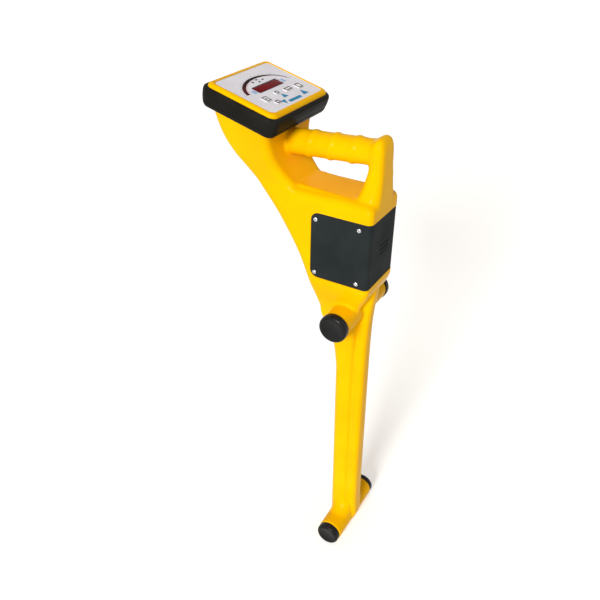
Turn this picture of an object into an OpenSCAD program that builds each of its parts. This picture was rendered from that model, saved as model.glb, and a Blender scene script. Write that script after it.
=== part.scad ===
// Hand-held cable locator: a hollow yellow moulding with a tilted display head, a closed
// hand grip, a screwed rear cover and two transverse antenna tubes.
// Millimetres. +X is the user's right, +Y points away from the user, +Z is up.
// The origin is the lowest point of the lower antenna tube, under the column.

/* [Body] */
// Wall thickness of the body moulding
body_wall = 3; // [2.5:0.25:4]
// Height where the column starts to widen
column_top = 300; // [280:1:320]
// Width of the column's front lobe
column_w = 32; // [28:0.5:36]
// Reach of the column's front lobe in front of the lower tube, at the foot
column_front = 20; // [17:0.5:23]
// Depth of the column's front lobe
column_depth = 27; // [23:0.5:31]
// How far the column leans forward between its foot and its top
column_lean = 5; // [0:0.5:8]
// Width of the column's rear rib
rib_w = 25; // [20:0.5:28]
// Reach of the rear rib behind the lower tube, at the foot
rib_back = 19; // [16:0.5:21]
// Height of the battery box's lower edge
box_bottom = 442; // [438:1:444]
// Height of the floor of the hand opening
box_top = 557; // [550:1:562]
// Width of the battery box
box_w = 75; // [72:0.5:80]
// Reach of the battery box behind the lower tube
box_back = 25; // [23:0.5:28]
// Reach of the body's front at the box's lower edge
box_front = 62; // [58:0.5:66]
// Reach of the body's front at the floor of the hand opening
shoulder_front = 134; // [130:0.5:138]
// Rounding of the box's upper edges
box_edge = 11; // [8:0.5:12]

/* [Hand grip] */
// Diameter of the grip
grip_d = 31; // [28:0.5:34]
// Height of the grip's axis where it leaves the neck
grip_z = 601.5; // [598:0.5:605]
// How much higher the grip's axis ends in the post
grip_rise = 7; // [0:0.5:9]
// Height of a finger ring over the grip
finger_ring_h = 2; // [1:0.2:2.6]
// Width of a finger ring
finger_ring_w = 12; // [8:0.5:14]
// Distance between finger rings
finger_ring_step = 28; // [24:0.5:30]
// Place of the rearmost finger ring in front of the lower tube
finger_ring_y = 17.5; // [15:0.5:21]
// Lean of the finger rings towards the user
finger_ring_lean_angle = 8; // [0:1:12]
// Width of the rear post of the grip
post_w = 38; // [35:0.5:41]
// Height of the rear post's crown
post_top = 629; // [627:0.5:633]

/* [Head] */
// Width of the bezel
bezel_w = 124.5; // [122:0.5:128]
// Depth of the bezel
bezel_depth = 95; // [92:0.2:98]
// Forward place of the bezel's centre
head_y = 133.5; // [131:0.5:136]
// Height of the bezel's centre
head_z = 661; // [658:0.1:664]
// Tilt of the panel towards the user
head_tilt = 15.2; // [13:0.1:17]
// Height of the bezel
bezel_h = 10; // [9:0.25:10]
// Width of the bezel's rim beside the overlay
bezel_rim = 6.5; // [6:0.25:8]
// Height from the neck's flat top to the bezel's face
head_h = 26; // [25:0.25:28]
// How far the rubber bumper stands out beyond the bezel
bumper_out = 6; // [5:0.25:7]

/* [Panel] */
// Thickness of the printed overlay
overlay_t = 1.5; // [1.2:0.1:2]
// Width of the display window
window_w = 50; // [44:0.5:54]
// Depth of the display window
window_depth = 11.5; // [9:0.5:13]
// Half width of the curved signal meter
meter_rx = 45.5; // [42:0.5:46]
// Half depth of the curved signal meter
meter_ry = 29; // [27:0.5:30]
// Width of the power key
key_w = 10.5; // [9.5:0.25:11]
// Depth of the power key
key_depth = 10.4; // [10:0.1:10.6]
// Travel of a key
key_travel = 0.5; // [0.3:0.05:0.7]
// Height of a key over the overlay
key_proud = 0.9; // [0.8:0.1:1.2]

/* [Rear cover] */
// Lowest point of the rear cover
cover_bottom = 448.6; // [447:0.2:452]
// Height of the rear cover
cover_h = 86.6; // [82:0.2:90]
// Reach of the cover's sides in front of the lower tube
cover_front = 53.5; // [50:0.5:56]
// Sheet thickness of the cover
cover_t = 2.5; // [2:0.25:3]
// How deep the cover lies under the body's faces
cover_sink = 0.6; // [0.4:0.1:0.8]
// Radius of the cover's front corners
cover_corner = 10; // [6:0.5:11]
// Diameter of a cover screw
cover_screw_d = 3; // [2.5:0.1:3.5]
// Length of a sound slot
slot_l = 23; // [18:0.5:28]
// Height of a sound slot
slot_h = 1.6; // [1.2:0.1:2.2]
// Distance between sound slots
slot_step = 5.8; // [4.5:0.1:7]

/* [Antenna tubes] */
// Diameter of the lower tube
lower_tube_d = 35.6; // [33:0.2:38]
// Length of the lower tube without its caps
lower_tube_l = 107; // [100:1:116]
// Diameter of the upper tube
upper_tube_d = 36; // [33:0.2:38]
// Length of the upper tube without its caps
upper_tube_l = 112; // [104:1:120]
// Height of the upper tube's axis
upper_tube_z = 398.5; // [394:0.5:403]
// Forward place of the upper tube's axis
upper_tube_y = 6; // [4:0.5:8]
// Diameter of the lower end caps
lower_cap_d = 34.4; // [32:0.2:35.4]
// Diameter of the upper end caps
upper_cap_d = 37.8; // [36.4:0.2:39]
// Thickness of an end cap's head
cap_h = 9.5; // [7:0.25:11]
// Rounding of an end cap's edge
cap_edge = 4.2; // [3:0.2:5]
// Diameter of a ferrite rod
rod_d = 10; // [8:0.2:12]
// Diameter of a coil winding
coil_d = 18; // [14:0.5:20]
// Length of a coil winding
coil_l = 44; // [36:1:50]

/* [Power and sound] */
// Diameter of a battery cell
cell_d = 14.2; // [13.8:0.1:14.6]
// Length of a battery cell
cell_l = 50; // [49:0.1:50.6]
// Diameter of the loudspeaker
speaker_d = 28; // [24:0.5:32]
// Depth of the loudspeaker
speaker_h = 11; // [8:0.5:12]

/* [Hidden] */
$fn = 64;

// How far a cut runs past the face that it opens
overrun = 1;
// Gap between a moving piece and its neighbour
running_gap = 0.3;
// Gap between fixed pieces that slip together
slip_gap = 0.2;
// Gap round a screw in its bore
thread_gap = 0.05;
// Points on each rounded corner of a body section, outside and in the hollow
corner_steps = 7;
hollow_steps = 3;
// Sections between two rows of a table of sections
loft_steps = 3;
rib_steps = 2;
// Turn between two sections of the box's rounded upper edge
edge_turn = 15;

// Column, box and neck
lower_tube_r = lower_tube_d / 2;
upper_tube_r = upper_tube_d / 2;
lower_tube_z = lower_tube_r;
column_back = column_front - column_depth;
column_corner = 9;
box_corner = 7;
front_corner = 13;
neck_back = 108;
neck_root = 81;
neck_step = 3;
// The neck's back edges carry on the rounding of the box's upper edges
neck_corner = box_edge;
// Where the box's upper edge turns up into the neck, and how long the turn is
turn_y = 78;
turn_l = 18;
// Growth from the column to the box: height, front, back and width
flare_shares = [
    [0, 0, 0, 0], [0.24, 0.11, 0.01, 0.07], [0.43, 0.31, 0.05, 0.17], [0.62, 0.55, 0.17, 0.36],
    [0.8, 0.77, 0.46, 0.65], [0.93, 0.92, 0.86, 0.91], [1, 1, 1, 1]
];
// Growth from the box's lower edge to its top: height and front
box_front_shares = [[0, 0], [0.25, 0.17], [0.46, 0.36], [0.69, 0.6], [0.87, 0.83], [1, 1]];
// Growth of the neck: height, back, front, width, turn towards the head's tilt and corner length
neck_shares = [
    [0, 0, 0, 0, 0, 1.6], [0.19, 0.58, 0.26, 0.2, 0, 1.35], [0.4, 0.88, 0.56, 0.45, 0.15, 1.1],
    [0.62, 0.98, 0.79, 0.7, 0.4, 1], [0.82, 1, 0.93, 0.88, 0.75, 1], [1, 1, 1, 1, 1, 1]
];
// Rear rib: height up to the box, back from foot to box, width
rib_shares = [
    [0.05, 0, 1], [0.15, 0, 1], [0.36, -0.12, 1], [0.58, -0.28, 0.97], [0.74, -0.34, 0.9],
    [0.84, -0.25, 0.82], [0.91, 0.1, 0.76], [0.96, 0.6, 0.7], [1.01, 0.9, 0.66]
];
// Rear post: height from the box's top to the crown, back, front and width
post_shares = [
    [-0.16, 0.02, 0.85, 1.7], [0, 0.02, 0.58, 1.45], [0.17, 0.03, 0.43, 1.2], [0.42, 0.07, 0.3, 1.06],
    [0.68, 0.12, 0.25, 1], [0.84, 0.18, 0.23, 0.97], [0.94, 0.36, 0.17, 0.84], [0.985, 0.6, 0.08, 0.6],
    [1, 0.85, 0, 0.3]
];
// How round the rib and the post are, as shares of their half widths
rib_round_share = 0.62;
post_round_share = 0.78;
// How far the post's foot reaches along the box
post_reach_share = 0.3;
// Radius of the hollow in the post
post_bore_r = 4;

// Hand grip
// Where the grip ends inside the post
grip_end_y = -14;
grip_points = 40;
finger_ring_count = 3;
// Outline of a finger ring: place over its width and height
finger_ring_shares = [[-0.5, 0], [-0.3, 0.55], [-0.12, 0.95], [0.12, 0.95], [0.3, 0.55], [0.5, 0]];

// Foot and stubs
// Fillet between the column and the lower tube
foot_fillet = 26;
// How far a fillet's end lies inside its tube
fillet_inset = 1.2;
foot_r = lower_tube_r - fillet_inset;
foot_points = 32;
foot_steps = 8;
// Flare of the upper tube's stubs
flare_r = 7;
flare_start = 20;
flare_points = 6;

// Head, measured down from the bezel's face
bezel_corner = 9;
bezel_edge = 5;
bumper_corner = 13;
bumper_top = -6;
// How far the bumper hangs below the tray, round the neck
bumper_skirt = 2;
bumper_bottom = -head_h - bumper_skirt;
// Bumper outline from its foot to its lip: height, reach beyond the bezel
bumper_shares = [
    [0, -0.25], [0.06, 0.08], [0.3, 0.55], [0.33, 0.45], [0.36, 0.62], [0.6, 0.92],
    [0.74, 1], [0.88, 1], [0.96, 0.88], [1, 0.55]
];
overlay_sink = 0.7;
overlay_corner = 6;
overlay_w = bezel_w - 2 * bezel_rim;
overlay_depth = bezel_depth - 2 * bezel_rim;
overlay_top = -overlay_sink;
overlay_bottom = overlay_top - overlay_t;
// Ledge that carries the overlay, and the corners of its opening
ledge_w = 5;
ledge_corner = 14;
head_slope = tan(head_tilt);
neck_top_z = head_z - head_h / cos(head_tilt);
tray_in = 5;
tray_w = bezel_w - 2 * tray_in;
tray_depth = bezel_depth - 2 * tray_in;
tray_corner = 8;
tray_wall = 2.5;
tray_floor = tray_wall - head_h;
// The neck carries the tray and stays just inside its sides and front
neck_gap = 0.3;
neck_w = tray_w - 2 * neck_gap;
neck_front = head_y + tray_depth / 2 * cos(head_tilt) + head_h * sin(head_tilt) - neck_gap;
seal_t = 1;
lead_opening_w = 60;
lead_opening_depth = 34;
// Bezel screws
bezel_screw_in = 6;
bezel_screw_r = 1.25;
bezel_screw_l = 12;
bezel_head_r = 2.6;
bezel_head_h = 1.6;
boss_r = 3.4;
// Board, with its gaps to the tray's walls
board_side_gap = 9;
board_end_gap = 5;
board_w = tray_w - 2 * tray_wall - 2 * board_side_gap;
board_depth = tray_depth - 2 * tray_wall - 2 * board_end_gap;
board_t = 1.6;
board_top = -10.5;
board_bottom = board_top - board_t;
board_corner = 2;
pillar_in = 5;
pillar_r = 3;
board_screw_r = 1;
board_screw_l = 5;
board_head_r = 2;
board_head_h = 1.2;

// Panel pieces, placed as shares of the overlay's half sizes
window_shares = [0, 0.06];
window_corner = 1.2;
window_sink = 0.2;
module_margin = 1;
module_rise = 3;
meter_shares = [0, -0.085];
// Ends of the meter's curve, and its width there
meter_start_angle = 172;
meter_end_angle = 8;
meter_steps = 28;
meter_start_w = 5.4;
meter_end_w = 1.4;
lamp_w = 2.4;
lamp_h = 7;
lamp_count = 13;
lamp_start_angle = 164;
lamp_end_angle = 34;
// Keys: power, gain up, gain down, mode and frequency
key_shares = [[-0.594, -0.415], [-0.122, -0.341], [-0.47, -0.688], [0.267, -0.388], [0.637, -0.444]];
// Sizes of the keys as shares of the power key's
key_size_shares = [[1, 1], [0.71, 0.58], [0.81, 0.63], [1.33, 0.63], [1, 0.96]];
key_corner = 1.4;
key_flange = 1;
key_flange_t = 1;
key_stem_r = 2;
key_stem_end = -5;
switch_w = 6;
switch_t = 3.4;
plunger_r = 1.75;
switch_top = key_stem_end - key_travel - running_gap;

// Rear cover and battery bay
cover_top = cover_bottom + cover_h;
cover_half_w = box_w / 2 - cover_sink;
cover_back = box_back - cover_sink;
cover_bend = 6;
// Distances of the screws from the cover's edges
cover_screw_front_in = 5.9;
cover_screw_back_in = 14.8;
cover_screw_top_in = 8.6;
cover_screw_bottom_in = 6.4;
cover_screw_l = 11;
cover_head_r = 2.7;
cover_head_h = 1.8;
// Outline of a pan head: radius and height
pan_shares = [[1, 0], [1, 0.45], [0.93, 0.75], [0.75, 0.94], [0.4, 1]];
cross_l = 2.6;
cross_w = 0.7;
cross_deep = 0.9;
slot_x = 5.5;
slot_z = 491;
slot_count = 3;
bay_land = 13;
bay_web = 12;
bay_post = 4.4;
bay_bottom = cover_bottom + bay_land;
bay_top = cover_top - bay_land;
bay_front = cover_front - bay_land;
bay_half_w = cover_half_w - cover_t - bay_post;
bay_back = cover_back - cover_t - bay_post;
front_hollow_back = cover_front + body_wall / 2;
// The lands round the bay are as thick as the cover screws are long
land_half_w = cover_half_w - cover_screw_l;
land_back = cover_screw_l - cover_back;
land_corner = 1;

// Loudspeaker
speaker_rim_t = 4;
speaker_rim_in = 2;
magnet_share = 0.55;
clamp_w = 4;
clamp_t = 1.5;
speaker_y = cover_t - cover_back;

// Battery holder
cell_rows = 2;
cell_columns = 3;
cell_gap = 0.6;
nub_r = 2.75;
nub_h = 1;
contact_r = 4.5;
contact_t = 1.2;
holder_wall = 1.6;
holder_y = 12;
cell_pitch = cell_d + cell_gap;
holder_w = cell_columns * cell_pitch + 2 * holder_wall;
holder_depth = cell_rows * cell_pitch + holder_wall;
holder_h = cell_l + 2 * contact_t + 2 * holder_wall;

// Antennas
lower_bore_r = lower_tube_r - body_wall;
upper_bore_r = upper_tube_r - body_wall;
plug_l = 8;
cap_steps = 6;
seal_r = 1.2;
seal_gap = 0.1;
groove_w = 2.8;
groove_deep = 2.4;
// Gap between a rod's end and its plug, and the places of its supports along it
rod_end_gap = 0.5;
support_share = 0.8;
support_t = 6;
lead_r = 2;
lead_points = 8;
// Route of the lead from the lower coil to the board: shares of the head's place and height
lead_shares = [
    [0.037, 0.0454], [0.06, 0.181], [0.0825, 0.378], [0.1125, 0.4995], [0.21, 0.575], [0.33, 0.6415],
    [0.427, 0.676], [0.457, 0.696], [0.539, 0.7565], [0.674, 0.817], [0.8765, 0.8775],
    [1.0187, 0.932], [1.03, 0.9812]
];

function mix(a, b, share) = a + (b - a) * share;

// A smooth curve through four rows, at a share of the way from the second to the third
function curve(p, q, r, s, t) =
    (2 * q + (r - p) * t + (2 * p - 5 * q + 4 * r - s) * t * t + (3 * q - p - 3 * r + s) * t * t * t) / 2;

// A table of rows with smooth rows added between them
function smooth_rows(rows, steps) = [
    for (i = [0 : len(rows) - 2])
        for (k = [0 : steps - 1])
            curve(rows[max(i - 1, 0)], rows[i], rows[i + 1], rows[min(i + 2, len(rows) - 1)], k / steps),
    rows[len(rows) - 1]
];

function corner_arc(x, y, r, start, steps) = [
    for (i = [0 : steps])
        let (a = start + 90 * i / steps)
            [x + r * cos(a), y + r * sin(a)]
];

// An upright section: half width, back, front and the corner radii
function section(half_w, back, front, back_r, front_r, steps) = concat(
    corner_arc(half_w - front_r, front - front_r, front_r, 0, steps),
    corner_arc(front_r - half_w, front - front_r, front_r, 90, steps),
    corner_arc(back_r - half_w, back + back_r, back_r, 180, steps),
    corner_arc(half_w - back_r, back + back_r, back_r, 270, steps)
);

// A section lifted to its height, with a slope along its depth
function lifted(points, z, slope) = [for (p = points) [p.x, p.y, z + slope * (p.y - head_y)]];

function mirrored(points) = [for (p = points) [-p.x, p.y]];
function reversed(points) = [for (i = [len(points) - 1 : -1 : 0]) points[i]];

// A flat outline with rounded corners, centred
function rounded_outline(w, depth, r) = section(w / 2, -depth / 2, depth / 2, r, r, corner_steps);

// Reach of the body's front at a height of the box
smooth_front_shares = smooth_rows(box_front_shares, loft_steps);
function box_share(z) = (z - box_bottom) / (box_top - box_bottom);
function front_at(z) = mix(box_front, shoulder_front, lookup(box_share(z), smooth_front_shares));

// Middle of a ring of points
function middle(points, i = 0) =
    i < len(points) ? points[i] / len(points) + middle(points, i + 1) : [0, 0, 0];

// A closed skin over a list of rings with equal counts of points, with a fan over each end
module loft(rings) {
    count = len(rings[0]);
    last = len(rings) - 1;
    first_middle = count * len(rings);
    last_middle = first_middle + 1;
    polyhedron(
        points = concat([for (ring = rings) each ring], [middle(rings[0]), middle(rings[last])]),
        faces = [
            for (j = [0 : count - 1])
                let (k = (j + 1) % count)
                    each concat(
                        [[first_middle, j, k], [last_middle, last * count + k, last * count + j]],
                        [
                            for (i = [0 : last - 1])
                                each [
                                    [i * count + j, (i + 1) * count + j, (i + 1) * count + k],
                                    [i * count + j, (i + 1) * count + k, i * count + k]
                                ]
                        ]
                    )
        ]
    );
}

module plate(w, depth, r, bottom, top) {
    translate([0, 0, bottom])
        linear_extrude(top - bottom)
            polygon(rounded_outline(w, depth, r));
}

module ring_disc(outer_r, inner_r, h) {
    difference() {
        cylinder(r = outer_r, h = h);
        translate([0, 0, -overrun]) cylinder(r = inner_r, h = h + 2 * overrun);
    }
}

// Places its children in the tilted frame of the head, with zero on the bezel's face
module at_head() {
    translate([0, head_y, head_z])
        rotate([head_tilt, 0, 0])
            children();
}

// Turns what runs along Z to run along X, at a place in the YZ plane
module along_x(y, z) {
    translate([0, y, z])
        rotate([0, 90, 0])
            children();
}

// Turns what runs along Z to run along Y
module along_y(place) {
    translate(place)
        rotate([-90, 0, 0])
            children();
}

// Stations of the body: height, half width, back, front, corner radii and slope
function column_station(share) = [
    mix(lower_tube_z, column_top, share), column_w / 2, column_back + column_lean * share,
    column_front + column_lean * share, column_corner, column_corner, 0
];

function flare_station(row) = [
    mix(column_top, box_bottom, row[0]), mix(column_w, box_w, row[3]) / 2,
    mix(column_back + column_lean, -box_back, row[2]), mix(column_front + column_lean, box_front, row[1]),
    mix(column_corner, box_corner, row[0]), mix(column_corner, front_corner, row[0]), 0
];

function box_station(z) = [z, box_w / 2, -box_back, front_at(z), box_corner, front_corner, 0];

function neck_station(row, rise) = [
    mix(box_top + neck_step, neck_top_z + rise, row[0]), mix(box_w, neck_w, row[3]) / 2,
    mix(neck_root, neck_back, row[1]), mix(shoulder_front + neck_step, neck_front, row[2]),
    neck_corner * row[5], front_corner, head_slope * row[4]
];

function rib_station(row) =
    let (back = mix(-rib_back, -box_back, row[1]), half_w = rib_w * row[2] / 2)
        [
            box_bottom * row[0], half_w, back, back + rib_back,
            half_w * rib_round_share, half_w * rib_round_share, 0
        ];

function post_station(row) =
    let (
        back = mix(-box_back, grip_end_y, row[1]),
        front = mix(grip_end_y, box_front * post_reach_share, row[2]),
        half_w = post_w * row[3] / 2,
        r = min(half_w, (front - back) / 2) * post_round_share
    )
        [mix(box_top, post_top, row[0]), half_w, back, front, r, r, 0];

// A ring with plain rounded corners at a station, drawn in by an inset
function plain_ring(s, inset, steps) = lifted(
    section(
        s[1] - inset, s[2] + inset, s[3] - inset, max(s[4] - inset, inset), max(s[5] - inset, inset), steps
    ),
    s[0], s[6]
);

// The side of a body ring from its front to its back, where the edge turns in by a depth
function side_turn(half_w, y, length, depth) = [
    for (i = [0 : corner_steps])
        let (a = 90 * i / corner_steps)
            depth > 0
                ? [half_w - depth * (1 - cos(a)), y + length * (1 - sin(a))]
                : [half_w, y + length * (1 - i / corner_steps)]
];

// A body ring from its front corners, the turns of its sides and the points of its left back
function body_ring(s, turn, left_back) = lifted(
    concat(
        corner_arc(s[1] - s[5], s[3] - s[5], s[5], 0, corner_steps),
        corner_arc(s[5] - s[1], s[3] - s[5], s[5], 90, corner_steps),
        mirrored(turn), left_back, reversed(mirrored(left_back)), reversed(turn)
    ),
    s[0], s[6]
);

// A ring of the column or the box, whose sides run straight
function straight_ring(s) =
    let (side_back = s[2] + s[4], side_l = s[3] - s[5] - side_back)
        body_ring(
            s, side_turn(s[1], side_back + side_l / 4, side_l / 2, 0),
            corner_arc(s[4] - s[1], side_back, s[4], 180, corner_steps)
        );

// A ring of the box's rounded upper edge
function edge_ring(a) =
    let (s = box_station(box_top - box_edge * (1 - sin(a))), draw = box_edge * (1 - cos(a)))
        body_ring(
            s, side_turn(s[1], turn_y, turn_l, draw),
            corner_arc(s[4] + draw - s[1], s[2] + s[4] + draw, s[4], 180, corner_steps)
        );

// A ring of the neck, whose straight back faces the grip
function neck_ring(row) =
    let (s = neck_station(row, 0), half_back = s[1] - neck_corner)
        body_ring(
            s, side_turn(s[1], s[2], neck_corner * row[5], neck_corner),
            [for (i = [1 : corner_steps + 1]) [half_back * (i / (corner_steps + 2) - 1), s[2]]]
        );

module body_outside() {
    loft(concat(
        [for (share = [0 : 0.25 : 0.75]) straight_ring(column_station(share))],
        [for (row = smooth_rows(flare_shares, loft_steps)) straight_ring(flare_station(row))],
        [
            for (i = [1 : len(smooth_front_shares) - 1])
                let (z = mix(box_bottom, box_top, smooth_front_shares[i][0]))
                    if (z < box_top - box_edge - overrun)
                        straight_ring(box_station(z))
        ],
        [for (a = [edge_turn : edge_turn : 90]) edge_ring(a)],
        [for (row = smooth_rows(neck_shares, loft_steps)) neck_ring(row)]
    ));
}

module rear_rib() {
    loft([for (row = smooth_rows(rib_shares, rib_steps)) plain_ring(rib_station(row), 0, corner_steps)]);
}

module rear_post() {
    loft([for (row = smooth_rows(post_shares, loft_steps)) plain_ring(post_station(row), 0, corner_steps)]);
}

// The grip is a skin over leaning rings round its rising axis, with rounded finger rings
grip_slope = grip_rise / (neck_back - grip_end_y);
function grip_ring(r, y) = [
    for (i = [0 : grip_points - 1])
        let (a = 360 * i / grip_points, lean = r * cos(a) * tan(finger_ring_lean_angle))
            [r * sin(a), y - lean, grip_z + grip_slope * (neck_back - y + lean) + r * cos(a)]
];

module grip() {
    r = grip_d / 2;
    loft(concat(
        [grip_ring(r, grip_end_y)],
        [
            for (i = [0 : finger_ring_count - 1])
                for (p = finger_ring_shares)
                    grip_ring(
                        r + finger_ring_h * p[1],
                        finger_ring_y + finger_ring_step * i + finger_ring_w * p[0]
                    )
        ],
        [grip_ring(r, neck_back + body_wall)]
    ));
}

// Web that rises from the lower tube to the column on a fillet
function foot_ring(turn) =
    let (
        x = sign(turn) * (column_w / 2 + foot_fillet * (1 - cos(turn))),
        rise = foot_fillet * (1 - abs(sin(turn)))
    )
        [
            for (i = [0 : foot_points - 1])
                let (a = 360 * i / foot_points)
                    [x, foot_r * cos(a), lower_tube_z + (foot_r + (sin(a) > 0 ? rise : 0)) * sin(a)]
        ];

module foot_web() {
    loft([
        for (i = [-foot_steps : foot_steps])
            if (i != 0)
                foot_ring(90 * i / foot_steps)
    ]);
}

// Flare where a stub of the upper tube leaves the body
module tube_flare() {
    rotate_extrude()
        polygon(concat(
            [[0, 0], [upper_tube_r + flare_r, 0]],
            [
                for (i = [0 : flare_points])
                    let (a = 90 * i / flare_points)
                        [
                            upper_tube_r - fillet_inset + flare_r * (1 - sin(a)),
                            flare_start + flare_r * (1 - cos(a))
                        ]
            ],
            [[0, flare_start + flare_r]]
        ));
}

module body_solid() {
    body_outside();
    rear_rib();
    foot_web();
    along_x(0, lower_tube_z)
        cylinder(r = lower_tube_r, h = lower_tube_l, center = true);
    along_x(upper_tube_y, upper_tube_z) {
        cylinder(r = upper_tube_r, h = upper_tube_l, center = true);
        tube_flare();
        mirror([0, 0, 1]) tube_flare();
    }
    rear_post();
    grip();
}

// A ring of the hollow inside the box
function box_hollow_ring(z, half_w, back) = lifted(
    section(half_w, back, front_at(z) - body_wall, land_corner, front_corner - body_wall, hollow_steps), z, 0
);

// A ring of the hollow under the floor of the hand opening
function roof_ring(z, back) =
    let (edge_r = box_edge - body_wall)
        lifted(
            section(box_w / 2 - box_edge, back, front_at(z) - body_wall, edge_r, edge_r, hollow_steps), z, 0
        );

// The hollow inside runs from the foot, in front of the battery bay, to the head
module body_hollow() {
    low = bay_bottom - bay_web;
    high = bay_top + bay_web;
    loft(concat(
        [for (share = [0 : 0.5 : 0.5]) plain_ring(column_station(share), body_wall, hollow_steps)],
        [for (row = flare_shares) plain_ring(flare_station(row), body_wall, hollow_steps)],
        [for (z = [cover_bottom - body_wall, low]) box_hollow_ring(z, land_half_w, land_back)],
        [box_hollow_ring(low + overrun, land_half_w, front_hollow_back)],
        [
            for (share = [0.25 : 0.25 : 0.75])
                box_hollow_ring(mix(low, high, share), box_w / 2 - body_wall, front_hollow_back)
        ],
        [box_hollow_ring(high - overrun, land_half_w, front_hollow_back)],
        [for (z = [high, cover_top + body_wall]) box_hollow_ring(z, land_half_w, land_back)],
        [plain_ring(box_station(box_top - box_edge), body_wall, hollow_steps)],
        [roof_ring(box_top - body_wall, box_edge - box_back)],
        [roof_ring(box_top - body_wall + slip_gap, neck_root + box_edge)],
        [
            for (i = [1 : len(neck_shares) - 1])
                plain_ring(neck_station(neck_shares[i], overrun), body_wall, hollow_steps)
        ]
    ));
}

module rib_hollow() {
    loft([
        for (i = [1 : len(rib_shares) - 3])
            plain_ring(rib_station(rib_shares[i]), body_wall, hollow_steps)
    ]);
}

module tube_bores() {
    along_x(0, lower_tube_z)
        cylinder(r = lower_bore_r, h = lower_tube_l + 2 * overrun, center = true);
    along_x(upper_tube_y, upper_tube_z)
        cylinder(r = upper_bore_r, h = upper_tube_l + 2 * overrun, center = true);
    translate([0, neck_back, grip_z])
        rotate([90 - atan(grip_slope), 0, 0])
            translate([0, 0, -2 * body_wall])
                cylinder(r = grip_d / 2 - body_wall, h = neck_back + 2 * body_wall - grip_end_y);
    translate([0, grip_end_y, box_top - body_wall - overrun])
        cylinder(r = post_bore_r, h = grip_z - box_top + body_wall + overrun);
}

// Outline of the cover's side, with rounded front corners
function cover_side(gap) = concat(
    [[-box_back - 2 * overrun, cover_bottom - gap]],
    corner_arc(cover_front + gap - cover_corner, cover_bottom + cover_corner - gap, cover_corner, 270, corner_steps),
    corner_arc(cover_front + gap - cover_corner, cover_top + gap - cover_corner, cover_corner, 0, corner_steps),
    [[-box_back - 2 * overrun, cover_top + gap]]
);

module cover_side_block(half_w, gap) {
    rotate([90, 0, 90])
        linear_extrude(2 * half_w, center = true)
            polygon(cover_side(gap));
}

// An upright block bent round the box's back and open to the front
module cover_bend_block(half_w, back, bend, gap) {
    translate([0, 0, cover_bottom - gap])
        linear_extrude(cover_h + 2 * gap)
            polygon(section(half_w, -back, cover_front + 2 * overrun, bend, slip_gap, corner_steps));
}

module cover_core(gap) {
    cover_bend_block(cover_half_w - cover_t, cover_back - cover_t, cover_bend - cover_t, gap);
}

// Puts its children at every cover screw, with Z pointing out of the cover
module at_cover_screws() {
    for (side = [-1, 1])
        for (y = [cover_screw_back_in - cover_back, cover_front - cover_screw_front_in])
            for (z = [cover_bottom + cover_screw_bottom_in, cover_top - cover_screw_top_in])
                translate([side * cover_half_w, y, z])
                    rotate([0, 90 * side, 0])
                        children();
}

module cover_recess() {
    difference() {
        cover_side_block(box_w / 2 + overrun, slip_gap);
        cover_core(overrun);
    }
    at_cover_screws()
        translate([0, 0, -cover_screw_l])
            cylinder(d = cover_screw_d + 2 * thread_gap, h = cover_screw_l);
}

// Bay for the batteries and the loudspeaker, open to the sides and the back
module battery_bay() {
    translate([-box_w / 2, -bay_back, bay_bottom])
        cube([box_w, bay_back + bay_front, bay_top - bay_bottom]);
    translate([-bay_half_w, -box_back, bay_bottom])
        cube([2 * bay_half_w, box_back, bay_top - bay_bottom]);
}

module body_moulding() {
    color("gold")
        difference() {
            body_solid();
            body_hollow();
            rib_hollow();
            tube_bores();
            cover_recess();
            battery_bay();
        }
}

// Puts its children at the four corners of a rectangle
module at_corners(half_w, half_depth, z) {
    for (sx = [-1, 1])
        for (sy = [-1, 1])
            translate([sx * half_w, sy * half_depth, z])
                children();
}

module at_bezel_screws(z) {
    at_corners(overlay_w / 2 - bezel_screw_in, overlay_depth / 2 - bezel_screw_in, z) children();
}

module at_board_screws(z) {
    at_corners(board_w / 2 - pillar_in, board_depth / 2 - pillar_in, z) children();
}

module head_tray() {
    inner_w = tray_w - 2 * tray_wall;
    inner_depth = tray_depth - 2 * tray_wall;
    color("dimgray")
        at_head()
            difference() {
                union() {
                    difference() {
                        plate(tray_w, tray_depth, tray_corner, -head_h, -bezel_h - seal_t);
                        plate(inner_w, inner_depth, tray_corner - tray_wall, tray_floor, overrun - bezel_h);
                        plate(
                            lead_opening_w, lead_opening_depth, tray_corner,
                            -head_h - overrun, tray_floor + overrun
                        );
                    }
                    at_bezel_screws(tray_floor - overrun)
                        cylinder(r = boss_r, h = overrun - bezel_h - tray_floor);
                }
                at_bezel_screws(overlay_bottom - bezel_head_h - bezel_screw_l - overrun)
                    cylinder(r = bezel_screw_r + thread_gap, h = bezel_screw_l + overrun);
            }
}

// A ring of the bumper or the bezel in the head's frame
function head_ring(out, r, z) =
    [for (p = rounded_outline(bezel_w + 2 * out, bezel_depth + 2 * out, r)) [p.x, p.y, z]];

module head_bumper() {
    color("darkslategray")
        at_head()
            difference() {
                loft([
                    for (row = bumper_shares)
                        head_ring(
                            bumper_out * row[1], bumper_corner - bumper_out * (1 - row[1]),
                            mix(bumper_bottom, bumper_top, row[0])
                        )
                ]);
                plate(
                    tray_w + 2 * slip_gap, tray_depth + 2 * slip_gap, tray_corner + slip_gap,
                    bumper_bottom - overrun, overrun - bezel_h
                );
                plate(
                    bezel_w + 2 * slip_gap, bezel_depth + 2 * slip_gap, bezel_corner + slip_gap,
                    -bezel_h, overrun
                );
            }
}

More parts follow.
